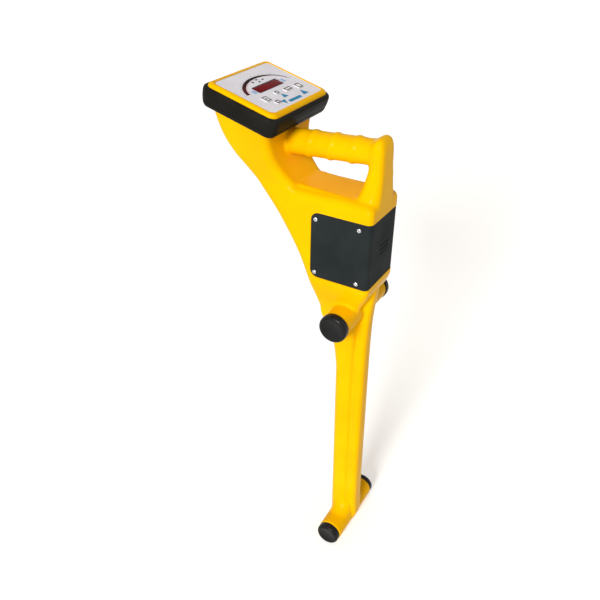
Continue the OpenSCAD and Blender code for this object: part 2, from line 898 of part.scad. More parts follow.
module head_bezel() {
    color("gold")
        at_head()
            difference() {
                loft(concat(
                    [head_ring(0, bezel_corner, -bezel_h)],
                    [
                        for (a = [0 : edge_turn : 90])
                            let (draw = bezel_edge * (1 - cos(a)))
                                head_ring(-draw, bezel_corner - draw, bezel_edge * (sin(a) - 1))
                    ]
                ));
                plate(
                    overlay_w + 2 * slip_gap, overlay_depth + 2 * slip_gap, overlay_corner + slip_gap,
                    overlay_bottom, overrun
                );
                plate(
                    overlay_w - 2 * ledge_w, overlay_depth - 2 * ledge_w, ledge_corner,
                    -bezel_h - overrun, overrun
                );
                at_bezel_screws(overlay_bottom - bezel_head_h - slip_gap)
                    cylinder(r = bezel_head_r + slip_gap, h = bezel_head_h + overrun);
                at_bezel_screws(-bezel_h - overrun)
                    cylinder(r = bezel_screw_r + slip_gap, h = bezel_h);
            }
}

module bezel_seal() {
    color("black")
        at_head()
            difference() {
                plate(tray_w, tray_depth, tray_corner, -bezel_h - seal_t, -bezel_h);
                plate(
                    tray_w - 2 * tray_wall, tray_depth - 2 * tray_wall, tray_corner - tray_wall,
                    -bezel_h - 2 * seal_t, overrun - bezel_h
                );
            }
}

module bezel_screws() {
    color("silver")
        at_head()
            at_bezel_screws(overlay_bottom - bezel_head_h - slip_gap) {
                cylinder(r = bezel_head_r, h = bezel_head_h);
                translate([0, 0, -bezel_screw_l + overrun])
                    cylinder(r = bezel_screw_r, h = bezel_screw_l);
            }
}

// Outline of the curved meter, grown all round by a gap
function meter_outline(gap) =
    let (
        angles = [for (i = [0 : meter_steps]) mix(meter_start_angle, meter_end_angle, i / meter_steps)],
        widths = [for (i = [0 : meter_steps]) mix(meter_start_w, meter_end_w, i / meter_steps)],
        outer = [for (a = angles) [(meter_rx + gap) * cos(a), (meter_ry + gap) * sin(a)]],
        inner = [
            for (i = [0 : meter_steps])
                [
                    (meter_rx - widths[i] - gap) * cos(angles[i]),
                    (meter_ry - widths[i] - gap) * sin(angles[i])
                ]
        ]
    )
        concat(outer, reversed(inner));

// Moves its children to a place given in shares of the overlay's half sizes
module on_panel(shares) {
    translate([shares.x * overlay_w / 2, shares.y * overlay_depth / 2, 0]) children();
}

module key_prism(index, margin, bottom, top) {
    size = [key_w * key_size_shares[index].x, key_depth * key_size_shares[index].y];
    plate(size.x + 2 * margin, size.y + 2 * margin, key_corner + margin, bottom, top);
}

module panel_overlay() {
    color("lavender")
        at_head()
            difference() {
                plate(overlay_w, overlay_depth, overlay_corner, overlay_bottom, overlay_top);
                on_panel(window_shares)
                    plate(
                        window_w + 2 * slip_gap, window_depth + 2 * slip_gap, window_corner + slip_gap,
                        overlay_bottom - overrun, overrun
                    );
                on_panel(meter_shares)
                    translate([0, 0, overlay_bottom - overrun])
                        linear_extrude(overlay_t + 2 * overrun)
                            polygon(meter_outline(slip_gap));
                for (i = [0 : len(key_shares) - 1])
                    on_panel(key_shares[i])
                        key_prism(i, running_gap, overlay_bottom - overrun, overrun);
            }
}

module display_window() {
    color("darkred")
        at_head()
            on_panel(window_shares)
                plate(window_w, window_depth, window_corner, overlay_bottom, overlay_top - window_sink);
}

module meter_window() {
    color("black")
        at_head()
            on_panel(meter_shares)
                translate([0, 0, overlay_bottom])
                    linear_extrude(overlay_t - window_sink)
                        polygon(meter_outline(0));
}

module display_module() {
    w = window_w + 2 * module_margin;
    depth = window_depth + 2 * module_margin;
    color("dimgray")
        at_head()
            on_panel(window_shares)
                plate(w, depth + 2 * module_rise, window_corner, board_top, overlay_bottom - slip_gap);
}

module meter_lamps() {
    color("red")
        at_head()
            on_panel(meter_shares)
                for (i = [0 : lamp_count - 1])
                    let (a = mix(lamp_start_angle, lamp_end_angle, i / (lamp_count - 1)))
                        translate([(meter_rx - lamp_w) * cos(a), (meter_ry - lamp_w) * sin(a), board_top])
                            rotate([0, 0, a])
                                translate([-lamp_w / 2, -lamp_w / 2, 0])
                                    cube([lamp_w, lamp_w, lamp_h]);
}

module main_board() {
    color("darkgreen")
        at_head()
            difference() {
                plate(board_w, board_depth, board_corner, board_bottom, board_top);
                at_board_screws(board_bottom - overrun)
                    cylinder(r = board_screw_r + thread_gap, h = board_t + 2 * overrun);
            }
}

module board_pillars() {
    color("silver")
        at_head()
            at_board_screws(tray_floor)
                ring_disc(pillar_r, board_screw_r + thread_gap, board_bottom - tray_floor);
}

module board_screws() {
    color("silver")
        at_head()
            at_board_screws(board_top) {
                cylinder(r = board_head_r, h = board_head_h);
                translate([0, 0, -board_screw_l])
                    cylinder(r = board_screw_r, h = board_screw_l + overrun);
            }
}

module key_switches() {
    color("black")
        at_head()
            for (shares = key_shares)
                on_panel(shares) {
                    translate([-switch_w / 2, -switch_w / 2, board_top])
                        cube([switch_w, switch_w, switch_t]);
                    translate([0, 0, board_top])
                        cylinder(r = plunger_r, h = switch_top - board_top);
                }
}

// A key's cap through the overlay, the flange that keeps it in, and its stem
module panel_key(index) {
    flange_top = overlay_bottom - running_gap;
    color("whitesmoke")
        at_head()
            on_panel(key_shares[index]) {
                key_prism(index, 0, flange_top - key_flange_t, overlay_top + key_proud);
                key_prism(index, key_flange, flange_top - key_flange_t, flange_top);
                translate([0, 0, key_stem_end])
                    cylinder(r = key_stem_r, h = overlay_top - key_stem_end);
            }
}

module power_key() {
    panel_key(0);
}

module gain_up_key() {
    panel_key(1);
}

module gain_down_key() {
    panel_key(2);
}

module mode_key() {
    panel_key(3);
}

module frequency_key() {
    panel_key(4);
}

// A sound slot with round ends, through the cover's back
module sound_slot() {
    straight = slot_l - slot_h;
    along_y([slot_x, -cover_back - overrun, slot_z])
        linear_extrude(cover_t + 2 * overrun) {
            square([straight, slot_h], center = true);
            for (side = [-1, 1])
                translate([side * straight / 2, 0]) circle(d = slot_h);
        }
}

module rear_cover() {
    color("darkslategray")
        difference() {
            intersection() {
                cover_bend_block(cover_half_w, cover_back, cover_bend, overrun);
                cover_side_block(box_w, 0);
            }
            cover_core(2 * overrun);
            for (i = [0 : slot_count - 1])
                translate([0, 0, slot_step * (i - (slot_count - 1) / 2)])
                    sound_slot();
            at_cover_screws()
                translate([0, 0, -cover_t - overrun])
                    cylinder(d = cover_screw_d + 2 * slip_gap, h = cover_t + 2 * overrun);
        }
}

// A pan-head screw with a cross recess
module pan_screw() {
    difference() {
        rotate_extrude()
            polygon(concat(
                [[0, 0]],
                [for (p = pan_shares) [cover_head_r * p[0], cover_head_h * p[1]]],
                [[0, cover_head_h]]
            ));
        for (turn = [0, 90])
            rotate([0, 0, turn])
                translate([-cross_l / 2, -cross_w / 2, cover_head_h - cross_deep])
                    cube([cross_l, cross_w, cross_deep + overrun]);
    }
    translate([0, 0, overrun - cover_screw_l])
        cylinder(d = cover_screw_d, h = cover_screw_l - overrun + slip_gap);
}

module cover_screws() {
    color("silver")
        at_cover_screws() pan_screw();
}

module speaker() {
    r = speaker_d / 2;
    color("dimgray")
        along_y([slot_x, speaker_y, slot_z]) {
            cylinder(r = r, h = speaker_rim_t);
            cylinder(r1 = r - speaker_rim_in, r2 = r * magnet_share, h = (speaker_rim_t + speaker_h) / 2);
            cylinder(r = r * magnet_share, h = speaker_h);
        }
}

module speaker_clamp() {
    r = speaker_d / 2 + slip_gap;
    color("black")
        along_y([slot_x, speaker_y, slot_z]) {
            ring_disc(r + clamp_w, r, speaker_rim_t + clamp_t);
            translate([0, 0, speaker_rim_t])
                ring_disc(r + clamp_w / 2, r - speaker_rim_in + slip_gap, clamp_t);
        }
}

// Puts its children at the foot of every cell, on the holder's floor
module at_cells(z) {
    for (column = [0 : cell_columns - 1])
        for (row = [0 : cell_rows - 1])
            translate([
                cell_pitch * (column - (cell_columns - 1) / 2),
                holder_y + cell_pitch * (row - (cell_rows - 1) / 2),
                bay_bottom + holder_wall + z
            ])
                children();
}

module battery_holder() {
    front = holder_y + cell_rows * cell_pitch / 2;
    color("black")
        difference() {
            translate([-holder_w / 2, front + holder_wall - holder_depth, bay_bottom])
                cube([holder_w, holder_depth, holder_h]);
            translate([holder_wall - holder_w / 2, front - holder_depth, bay_bottom + holder_wall])
                cube([holder_w - 2 * holder_wall, holder_depth, holder_h - 2 * holder_wall]);
        }
}

module battery_cells() {
    color("steelblue")
        at_cells(contact_t) {
            cylinder(d = cell_d, h = cell_l - nub_h);
            cylinder(r = nub_r, h = cell_l);
        }
}

module battery_contacts() {
    color("silver") {
        at_cells(0) cylinder(r = contact_r, h = contact_t);
        at_cells(contact_t + cell_l) cylinder(r = contact_r, h = contact_t);
    }
}

// A rod reaches from plug to plug
function rod_l(tube_l) = tube_l - 2 * plug_l - 2 * rod_end_gap;

module ferrite_rod(tube_l) {
    cylinder(d = rod_d, h = rod_l(tube_l), center = true);
}

module coil() {
    translate([0, 0, -coil_l / 2])
        ring_disc(coil_d / 2, rod_d / 2 + thread_gap, coil_l);
}

module rod_supports(bore_r, tube_l) {
    for (side = [-1, 1])
        translate([0, 0, side * support_share * rod_l(tube_l) / 2 - support_t / 2])
            ring_disc(bore_r - thread_gap, rod_d / 2 + thread_gap, support_t);
}

// An end cap: a head with a rounded edge and a plug with a groove for its seal
module end_cap(cap_r, bore_r, tube_l) {
    plug_r = bore_r - slip_gap;
    groove_r = plug_r - groove_deep;
    groove_start = (plug_l - groove_w) / 2;
    translate([0, 0, tube_l / 2])
        rotate_extrude()
            polygon(concat(
                [
                    [0, -plug_l], [plug_r, -plug_l], [plug_r, groove_start - plug_l],
                    [groove_r, groove_start - plug_l], [groove_r, -groove_start], [plug_r, -groove_start],
                    [plug_r, 0], [cap_r, 0]
                ],
                corner_arc(cap_r - cap_edge, cap_h - cap_edge, cap_edge, 0, cap_steps),
                [[0, cap_h]]
            ));
}

// A seal ring in the groove of a plug, just clear of the bore
module seal_ring(bore_r, tube_l) {
    for (side = [-1, 1])
        translate([0, 0, side * (tube_l - plug_l) / 2])
            rotate_extrude()
                translate([bore_r - seal_gap - seal_r, 0])
                    circle(seal_r);
}

module upper_ferrite_rod() {
    color("dimgray")
        along_x(upper_tube_y, upper_tube_z) ferrite_rod(upper_tube_l);
}

module upper_coil() {
    color("peru")
        along_x(upper_tube_y, upper_tube_z) coil();
}

module upper_rod_supports() {
    color("whitesmoke")
        along_x(upper_tube_y, upper_tube_z) rod_supports(upper_bore_r, upper_tube_l);
}

module upper_cap_right() {
    color("black")
        along_x(upper_tube_y, upper_tube_z) end_cap(upper_cap_d / 2, upper_bore_r, upper_tube_l);
}

module upper_cap_left() {
    mirror([1, 0, 0]) upper_cap_right();
}

module lower_ferrite_rod() {
    color("dimgray")
        along_x(0, lower_tube_z) ferrite_rod(lower_tube_l);
}

module lower_coil() {
    color("peru")
        along_x(0, lower_tube_z) coil();
}

module lower_rod_supports() {
    color("whitesmoke")
        along_x(0, lower_tube_z) rod_supports(lower_bore_r, lower_tube_l);
}

module lower_cap_right() {
    color("black")
        along_x(0, lower_tube_z) end_cap(lower_cap_d / 2, lower_bore_r, lower_tube_l);
}

module lower_cap_left() {
    mirror([1, 0, 0]) lower_cap_right();
}

module cap_seals() {
    color("black") {
        along_x(upper_tube_y, upper_tube_z) seal_ring(upper_bore_r, upper_tube_l);
        along_x(0, lower_tube_z) seal_ring(lower_bore_r, lower_tube_l);
    }
}

// The lead lies in the middle plane and follows its route in one swept skin
module antenna_lead() {
    route = [for (p = smooth_rows(lead_shares, rib_steps)) [p[0] * head_y, p[1] * head_z]];
    last = len(route) - 1;
    color("black")
        loft([
            for (i = [0 : last])
                let (
                    step = route[min(i + 1, last)] - route[max(i - 1, 0)],
                    along = step / norm(step)
                )
                    [
                        for (k = [0 : lead_points - 1])
                            let (a = 360 * k / lead_points, side = lead_r * sin(a))
                                [
                                    lead_r * cos(a),
                                    route[i].x + side * along.y,
                                    route[i].y - side * along.x
                                ]
                    ]
        ]);
}

body_moulding();
head_tray();
head_bumper();
head_bezel();
bezel_seal();
bezel_screws();
panel_overlay();
display_window();
meter_window();
display_module();
meter_lamps();
main_board();
board_pillars();
board_screws();
key_switches();
power_key();
gain_up_key();
gain_down_key();
mode_key();
frequency_key();
rear_cover();
cover_screws();
speaker();
speaker_clamp();
battery_holder();
battery_cells();
battery_contacts();
upper_ferrite_rod();
upper_coil();
upper_rod_supports();
upper_cap_left();
upper_cap_right();
lower_ferrite_rod();
lower_coil();
lower_rod_supports();
lower_cap_left();
lower_cap_right();
cap_seals();
antenna_lead();
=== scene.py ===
"""Looks of a hand-held cable locator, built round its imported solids.

Everything is in metres in the frame of the solids: +X is the user's right, +Y points away from the
user and +Z is up. Sizes are written in millimetres, and MM turns them into metres.
"""

import logging
import math
from collections.abc import Callable, Sequence
from dataclasses import dataclass, field
from enum import Enum

import bmesh
import bpy
from mathutils import Matrix, Vector


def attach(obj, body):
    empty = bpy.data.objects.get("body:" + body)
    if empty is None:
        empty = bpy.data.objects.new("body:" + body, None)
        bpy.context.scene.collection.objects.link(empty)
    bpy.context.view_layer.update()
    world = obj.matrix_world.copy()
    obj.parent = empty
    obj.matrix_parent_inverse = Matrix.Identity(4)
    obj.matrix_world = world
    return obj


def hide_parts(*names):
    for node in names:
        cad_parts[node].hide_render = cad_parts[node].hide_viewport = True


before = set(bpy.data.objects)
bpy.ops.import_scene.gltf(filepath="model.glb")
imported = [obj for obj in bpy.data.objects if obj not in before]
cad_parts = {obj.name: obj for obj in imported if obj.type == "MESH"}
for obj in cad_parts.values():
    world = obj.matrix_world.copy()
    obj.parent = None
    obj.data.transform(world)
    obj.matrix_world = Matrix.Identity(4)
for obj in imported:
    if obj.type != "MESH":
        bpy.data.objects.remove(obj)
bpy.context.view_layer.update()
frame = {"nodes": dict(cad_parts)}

log = logging.getLogger("cable_locator")

MM = 0.001
FULL_TURN = 2 * math.pi
MERGE_GAP = 1e-7
PLATE_EDGE_STEPS = 3

# Values that all finishes share
WHITE = "FFFFFF"
DUST_COLOUR = "B9AE98"
COAT_ROUGHNESS = 0.08
RUBBED_ROUGHNESS = 0.3
DUSTY_ROUGHNESS = 0.4
WHOLE_RANGE = (0.0, 1.0)
TINT_RANGE = (0.35, 0.65)
GLOSS_RANGE = (0.3, 0.7)
RUB_SCALE = 2
DUST_SCALE = 6
# Radians that a wave texture runs through for each unit of its scale
WAVE_RATE = 20

Outline = list[Vector]
Rows = Sequence[Sequence[float]]


class Body(Enum):
    """Bodies of the part that pieces ride on."""

    LOCATOR = "locator"
    POWER_KEY = "power_key"
    GAIN_UP_KEY = "gain_up_key"
    GAIN_DOWN_KEY = "gain_down_key"
    MODE_KEY = "mode_key"
    FREQUENCY_KEY = "frequency_key"


class Effect(Enum):
    """Shader groups that several finishes share."""

    GRAIN = "moulded_grain"
    WEAR = "rubbed_wear"
    DUST = "settled_dust"


def linear_colour(code: str) -> tuple[float, float, float, float]:
    """Turns a written colour into the linear values that shaders use.

    Args:
        code: Six hexadecimal digits, two each for red, green and blue.

    Returns:
        Linear red, green and blue, and a full alpha.
    """
    channels = [int(code[i : i + 2], 16) / 255 for i in (0, 2, 4)]
    linear = [c / 12.92 if c <= 0.04045 else ((c + 0.055) / 1.055) ** 2.4 for c in channels]
    return (*linear, 1.0)


def mix(first: float, second: float, share: float) -> float:
    """Gives the value at a share of the way from the first to the second."""
    return first + (second - first) * share


def smooth_rows(rows: Rows, steps: int) -> list[list[float]]:
    """Adds rows on a smooth curve between the rows of a table.

    Args:
        rows: The table, one sequence of numbers for each station.
        steps: How many rows each gap between two stations becomes.

    Returns:
        The finer table, ending with the last row.
    """
    last = len(rows) - 1
    finer = []
    for i in range(last):
        before, start, end, after = (rows[k] for k in (max(i - 1, 0), i, i + 1, min(i + 2, last)))
        for k in range(steps):
            t = k / steps
            finer.append(
                [
                    (
                        2 * q
                        + (r - p) * t
                        + (2 * p - 5 * q + 4 * r - s) * t**2
                        + (3 * (q - r) - p + s) * t**3
                    )
                    / 2
                    for p, q, r, s in zip(before, start, end, after)
                ]
            )
    finer.append(list(rows[last]))
    return finer


def look_up(rows: Rows, place: float) -> float:
    """Reads a table of places and values with straight lines between its rows.

    Args:
        rows: Pairs of a place and a value, in rising order of place.
        place: Where to read.

    Returns:
        The value at that place, held at the ends of the table.
    """
    for (x0, y0), (x1, y1) in zip(rows, rows[1:]):
        if place <= x1:
            return mix(y0, y1, max(0.0, (place - x0) / (x1 - x0)))
    return rows[-1][1]


def corner_arc(x: float, y: float, radius: float, start: float, steps: int) -> Outline:
    """Gives the points of a quarter circle.

    Args:
        x: Centre along X.
        y: Centre along Y.
        radius: Radius of the corner.
        start: Angle of the first point, in degrees.
        steps: Number of gaps between the points.

    Returns:
        The points from the start over a quarter turn.
    """
    angles = [math.radians(start + 90 * i / steps) for i in range(steps + 1)]
    return [Vector((x + radius * math.cos(a), y + radius * math.sin(a))) for a in angles]


def rounded_outline(
    half_w: float, back: float, front: float, back_r: float, front_r: float, steps: int
) -> Outline:
    """Gives a rectangle with rounded corners, from its right front corner round to its right back.

    Args:
        half_w: Half of the width along X.
        back: Lowest Y.
        front: Highest Y.
        back_r: Radius of the two back corners.
        front_r: Radius of the two front corners.
        steps: Number of gaps between the points of one corner.

    Returns:
        The points of the closed outline.
    """
    return [
        *corner_arc(half_w - front_r, front - front_r, front_r, 0, steps),
        *corner_arc(front_r - half_w, front - front_r, front_r, 90, steps),
        *corner_arc(back_r - half_w, back + back_r, back_r, 180, steps),
        *corner_arc(half_w - back_r, back + back_r, back_r, 270, steps),
    ]


def plate_outline(width: float, depth: float, radius: float, steps: int = 8) -> Outline:
    """Gives a centred rectangle with equal rounded corners."""
    return rounded_outline(width / 2, -depth / 2, depth / 2, radius, radius, steps)


def raised(outline: Outline, height: float) -> Outline:
    """Lifts a flat outline to a height."""
    return [Vector((p.x, p.y, height)) for p in outline]


def add_loft(bm: bmesh.types.BMesh, rings: Sequence[Outline], closed: bool = False) -> None:
    """Adds a skin that is extruded from ring to ring, given in millimetres.

    Args:
        bm: The mesh that takes the skin.
        rings: Rings with equal counts of points.
        closed: True joins the last ring to the first, and False closes both ends with a face.
    """
    verts = bmesh.ops.create_circle(bm, segments=len(rings[0]), radius=1.0)["verts"]
    first_edges = list({edge for vert in verts for edge in vert.link_edges})
    edges = first_edges
    for vert, point in zip(verts, rings[0]):
        vert.co = point * MM
    for ring in rings[1:]:
        grown = bmesh.ops.extrude_edge_only(bm, edges=edges)["geom"]
        fresh = {item for item in grown if isinstance(item, bmesh.types.BMVert)}
        edges = [item for item in grown if isinstance(item, bmesh.types.BMEdge) and set(item.verts) <= fresh]
        verts = [
            next(edge.other_vert(vert) for edge in vert.link_edges if edge.other_vert(vert) in fresh)
            for vert in verts
        ]
        for vert, point in zip(verts, ring):
            vert.co = point * MM
    if closed:
        bmesh.ops.bridge_loops(bm, edges=first_edges + edges)
    else:
        bmesh.ops.contextual_create(bm, geom=first_edges)
        bmesh.ops.contextual_create(bm, geom=edges)
    bmesh.ops.recalc_face_normals(bm, faces=bm.faces)


def pin_profile(radius: float, low: float, high: float) -> list[tuple[float, float]]:
    """Gives the profile of a plain round pin between two heights."""
    return [(0.0, low), (radius, low), (radius, high), (0.0, high)]


def add_turned(
    bm: bmesh.types.BMesh, profile: Sequence[tuple[float, float]], steps: int, place: Matrix
) -> None:
    """Adds a shape turned round the Z axis and moved into place.

    Args:
        bm: The mesh that takes the shape.
        profile: Radius and height of each point, in millimetres, from the axis back to the axis.
        steps: Number of faces round the shape.
        place: Where the shape goes, in metres.
    """
    turned = bmesh.new()
    verts = [turned.verts.new((radius * MM, 0, height * MM)) for radius, height in profile]
    edges = [turned.edges.new(pair) for pair in zip(verts, verts[1:])]
    bmesh.ops.spin(
        turned, geom=verts + edges, cent=(0, 0, 0), axis=(0, 0, 1),
        angle=FULL_TURN, steps=steps, use_merge=True,
    )
    bmesh.ops.remove_doubles(turned, verts=turned.verts, dist=MERGE_GAP)
    bmesh.ops.recalc_face_normals(turned, faces=turned.faces)
    bmesh.ops.transform(turned, matrix=place, verts=turned.verts)
    add_mesh(bm, turned)


def add_mesh(bm: bmesh.types.BMesh, extra: bmesh.types.BMesh) -> None:
    """Adds one mesh to another and frees it.

    Args:
        bm: The mesh that takes the other.
        extra: The mesh that is added and freed.
    """
    carrier = bpy.data.meshes.new("carrier")
    extra.to_mesh(carrier)
    extra.free()
    bm.from_mesh(carrier)
    bpy.data.meshes.remove(carrier)


def add_plate(bm: bmesh.types.BMesh, outline: Outline, bottom: float, top: float, edge: float = 0.0) -> None:
    """Adds a flat plate, with its upper edge rounded.

    Args:
        bm: The mesh that takes the plate.
        outline: Outline of the plate in millimetres.
        bottom: Height of its lower face.
        top: Height of its upper face.
        edge: Radius of its upper edge.
    """
    plate = bmesh.new()
    verts = bmesh.ops.create_circle(plate, segments=len(outline), radius=1.0, cap_ends=True)["verts"]
    for vert, point in zip(verts, outline):
        vert.co = Vector((point.x, point.y, bottom)) * MM
    grown = bmesh.ops.extrude_face_region(plate, geom=plate.faces[:])["geom"]
    risen = [item for item in grown if isinstance(item, bmesh.types.BMVert)]
    bmesh.ops.translate(plate, vec=Vector((0, 0, top - bottom)) * MM, verts=risen)
    if edge:
        rim = [item for item in grown if isinstance(item, bmesh.types.BMEdge)]
        bmesh.ops.bevel(
            plate, geom=rim, offset=edge * MM, affect="EDGES",
            segments=PLATE_EDGE_STEPS, profile=0.5, material=-1,
        )
    bmesh.ops.recalc_face_normals(plate, faces=plate.faces)
    add_mesh(bm, plate)


def add_box(bm: bmesh.types.BMesh, low: Sequence[float], high: Sequence[float]) -> None:
    """Adds a box between two corners.

    Args:
        bm: The mesh that takes the box.
        low: Its lowest corner, in millimetres.
        high: Its highest corner, in millimetres.
    """
    size = Vector(high) - Vector(low)
    centre = (Vector(high) + Vector(low)) / 2
    place = Matrix.Translation(centre * MM) @ Matrix.Diagonal((*(size * MM), 1.0))
    bmesh.ops.create_cube(bm, size=1.0, matrix=place)


def make_object(name: str, bm: bmesh.types.BMesh, place: Matrix | None = None) -> bpy.types.Object:
    """Makes an object at the origin from a mesh in the making.

    Args:
        name: Name of the piece.
        bm: The mesh, which is freed.
        place: Where the mesh goes, for a piece made in the frame of the head.

    Returns:
        The object, linked to the scene.
    """
    if place is not None:
        bmesh.ops.transform(bm, matrix=place, verts=bm.verts)
    mesh = bpy.data.meshes.new(name)
    bm.to_mesh(mesh)
    bm.free()
    piece = bpy.data.objects.new(name, mesh)
    bpy.context.scene.collection.objects.link(piece)
    return piece


def bake(piece: bpy.types.Object) -> None:
    """Applies the modifiers of a piece to its mesh.

    Args:
        piece: The piece.
    """
    bpy.context.view_layer.update()
    graph = bpy.context.evaluated_depsgraph_get()
    baked = bpy.data.meshes.new_from_object(piece.evaluated_get(graph))
    plain = piece.data
    piece.modifiers.clear()
    piece.data = baked
    bpy.data.meshes.remove(plain)


def carve(piece: bpy.types.Object, tool: bpy.types.Object, operation: str = "DIFFERENCE") -> None:
    """Cuts a piece with a closed tool, which is removed afterwards.

    Args:
        piece: The piece that is cut.
        tool: The object that cuts it.
        operation: DIFFERENCE takes the tool away, and INTERSECT keeps what lies in it.
    """
    cut = piece.modifiers.new("cut", "BOOLEAN")
    cut.operation = operation
    cut.solver = "MANIFOLD"
    cut.object = tool
    bake(piece)
    bpy.data.objects.remove(tool)


def shade(piece: bpy.types.Object, sharp_angle: float) -> None:
    """Shades a piece smoothly, with edges kept sharp above an angle in degrees."""
    piece.data.shade_smooth()
    piece.data.set_sharp_from_angle(angle=math.radians(sharp_angle))


class Sheet:
    """A shader tree with short ways to add and join nodes.

    Attributes:
        tree: The shader tree.
    """

    # Places of the colours among the sockets of a mixing node
    first_colour = 6
    second_colour = 7
    mixed_colour = 2

    def __init__(self, tree: bpy.types.NodeTree) -> None:
        """Starts from an empty tree."""
        self.tree = tree
        tree.nodes.clear()

    def node(self, kind: str, values: dict[str, object] | None = None, **settings: object) -> bpy.types.Node:
        """Adds a node.

        Args:
            kind: Type name of the node.
            values: Values of its inputs, by name.
            settings: Settings of the node itself.

        Returns:
            The new node.
        """
        made = self.tree.nodes.new(kind)
        for name, value in settings.items():
            setattr(made, name, value)
        for name, value in (values or {}).items():
            made.inputs[name].default_value = value
        return made

    def join(self, source: bpy.types.NodeSocket, target: bpy.types.NodeSocket) -> None:
        """Links an output to an input."""
        self.tree.links.new(source, target)

    def math(
        self, operation: str, first: bpy.types.NodeSocket, second: bpy.types.NodeSocket | float
    ) -> bpy.types.NodeSocket:
        """Works out one value from two, held between 0 and 1.

        Args:
            operation: Name of the operation.
            first: The first value.
            second: The second value, linked or plain.

        Returns:
            The result.
        """
        made = self.node("ShaderNodeMath", operation=operation, use_clamp=True)
        self.join(first, made.inputs[0])
        if isinstance(second, float):
            made.inputs[1].default_value = second
        else:
            self.join(second, made.inputs[1])
        return made.outputs[0]

    def blend(
        self, share: bpy.types.NodeSocket, first: bpy.types.NodeSocket | str, second: str
    ) -> bpy.types.NodeSocket:
        """Mixes two colours.

        Args:
            share: How much of the second colour shows.
            first: The first colour, linked or written.
            second: The second colour, written.

        Returns:
            The mixed colour.
        """
        made = self.node("ShaderNodeMix", data_type="RGBA")
        first_socket = made.inputs[self.first_colour]
        self.join(share, made.inputs[0])
        if isinstance(first, str):
            first_socket.default_value = linear_colour(first)
        else:
            self.join(first, first_socket)
        made.inputs[self.second_colour].default_value = linear_colour(second)
        return made.outputs[self.mixed_colour]

    def ranged(
        self, value: bpy.types.NodeSocket, source: tuple[float, float], target: tuple[float, float]
    ) -> bpy.types.NodeSocket:
        """Maps a value from one range to another.

        Args:
            value: The value.
            source: The range that it comes in.
            target: The range that it leaves in.

        Returns:
            The mapped value, held inside the target.
        """
        made = self.node("ShaderNodeMapRange")
        self.join(value, made.inputs["Value"])
        for name, number in zip(("From Min", "From Max", "To Min", "To Max"), (*source, *target)):
            made.inputs[name].default_value = number
        return made.outputs["Result"]


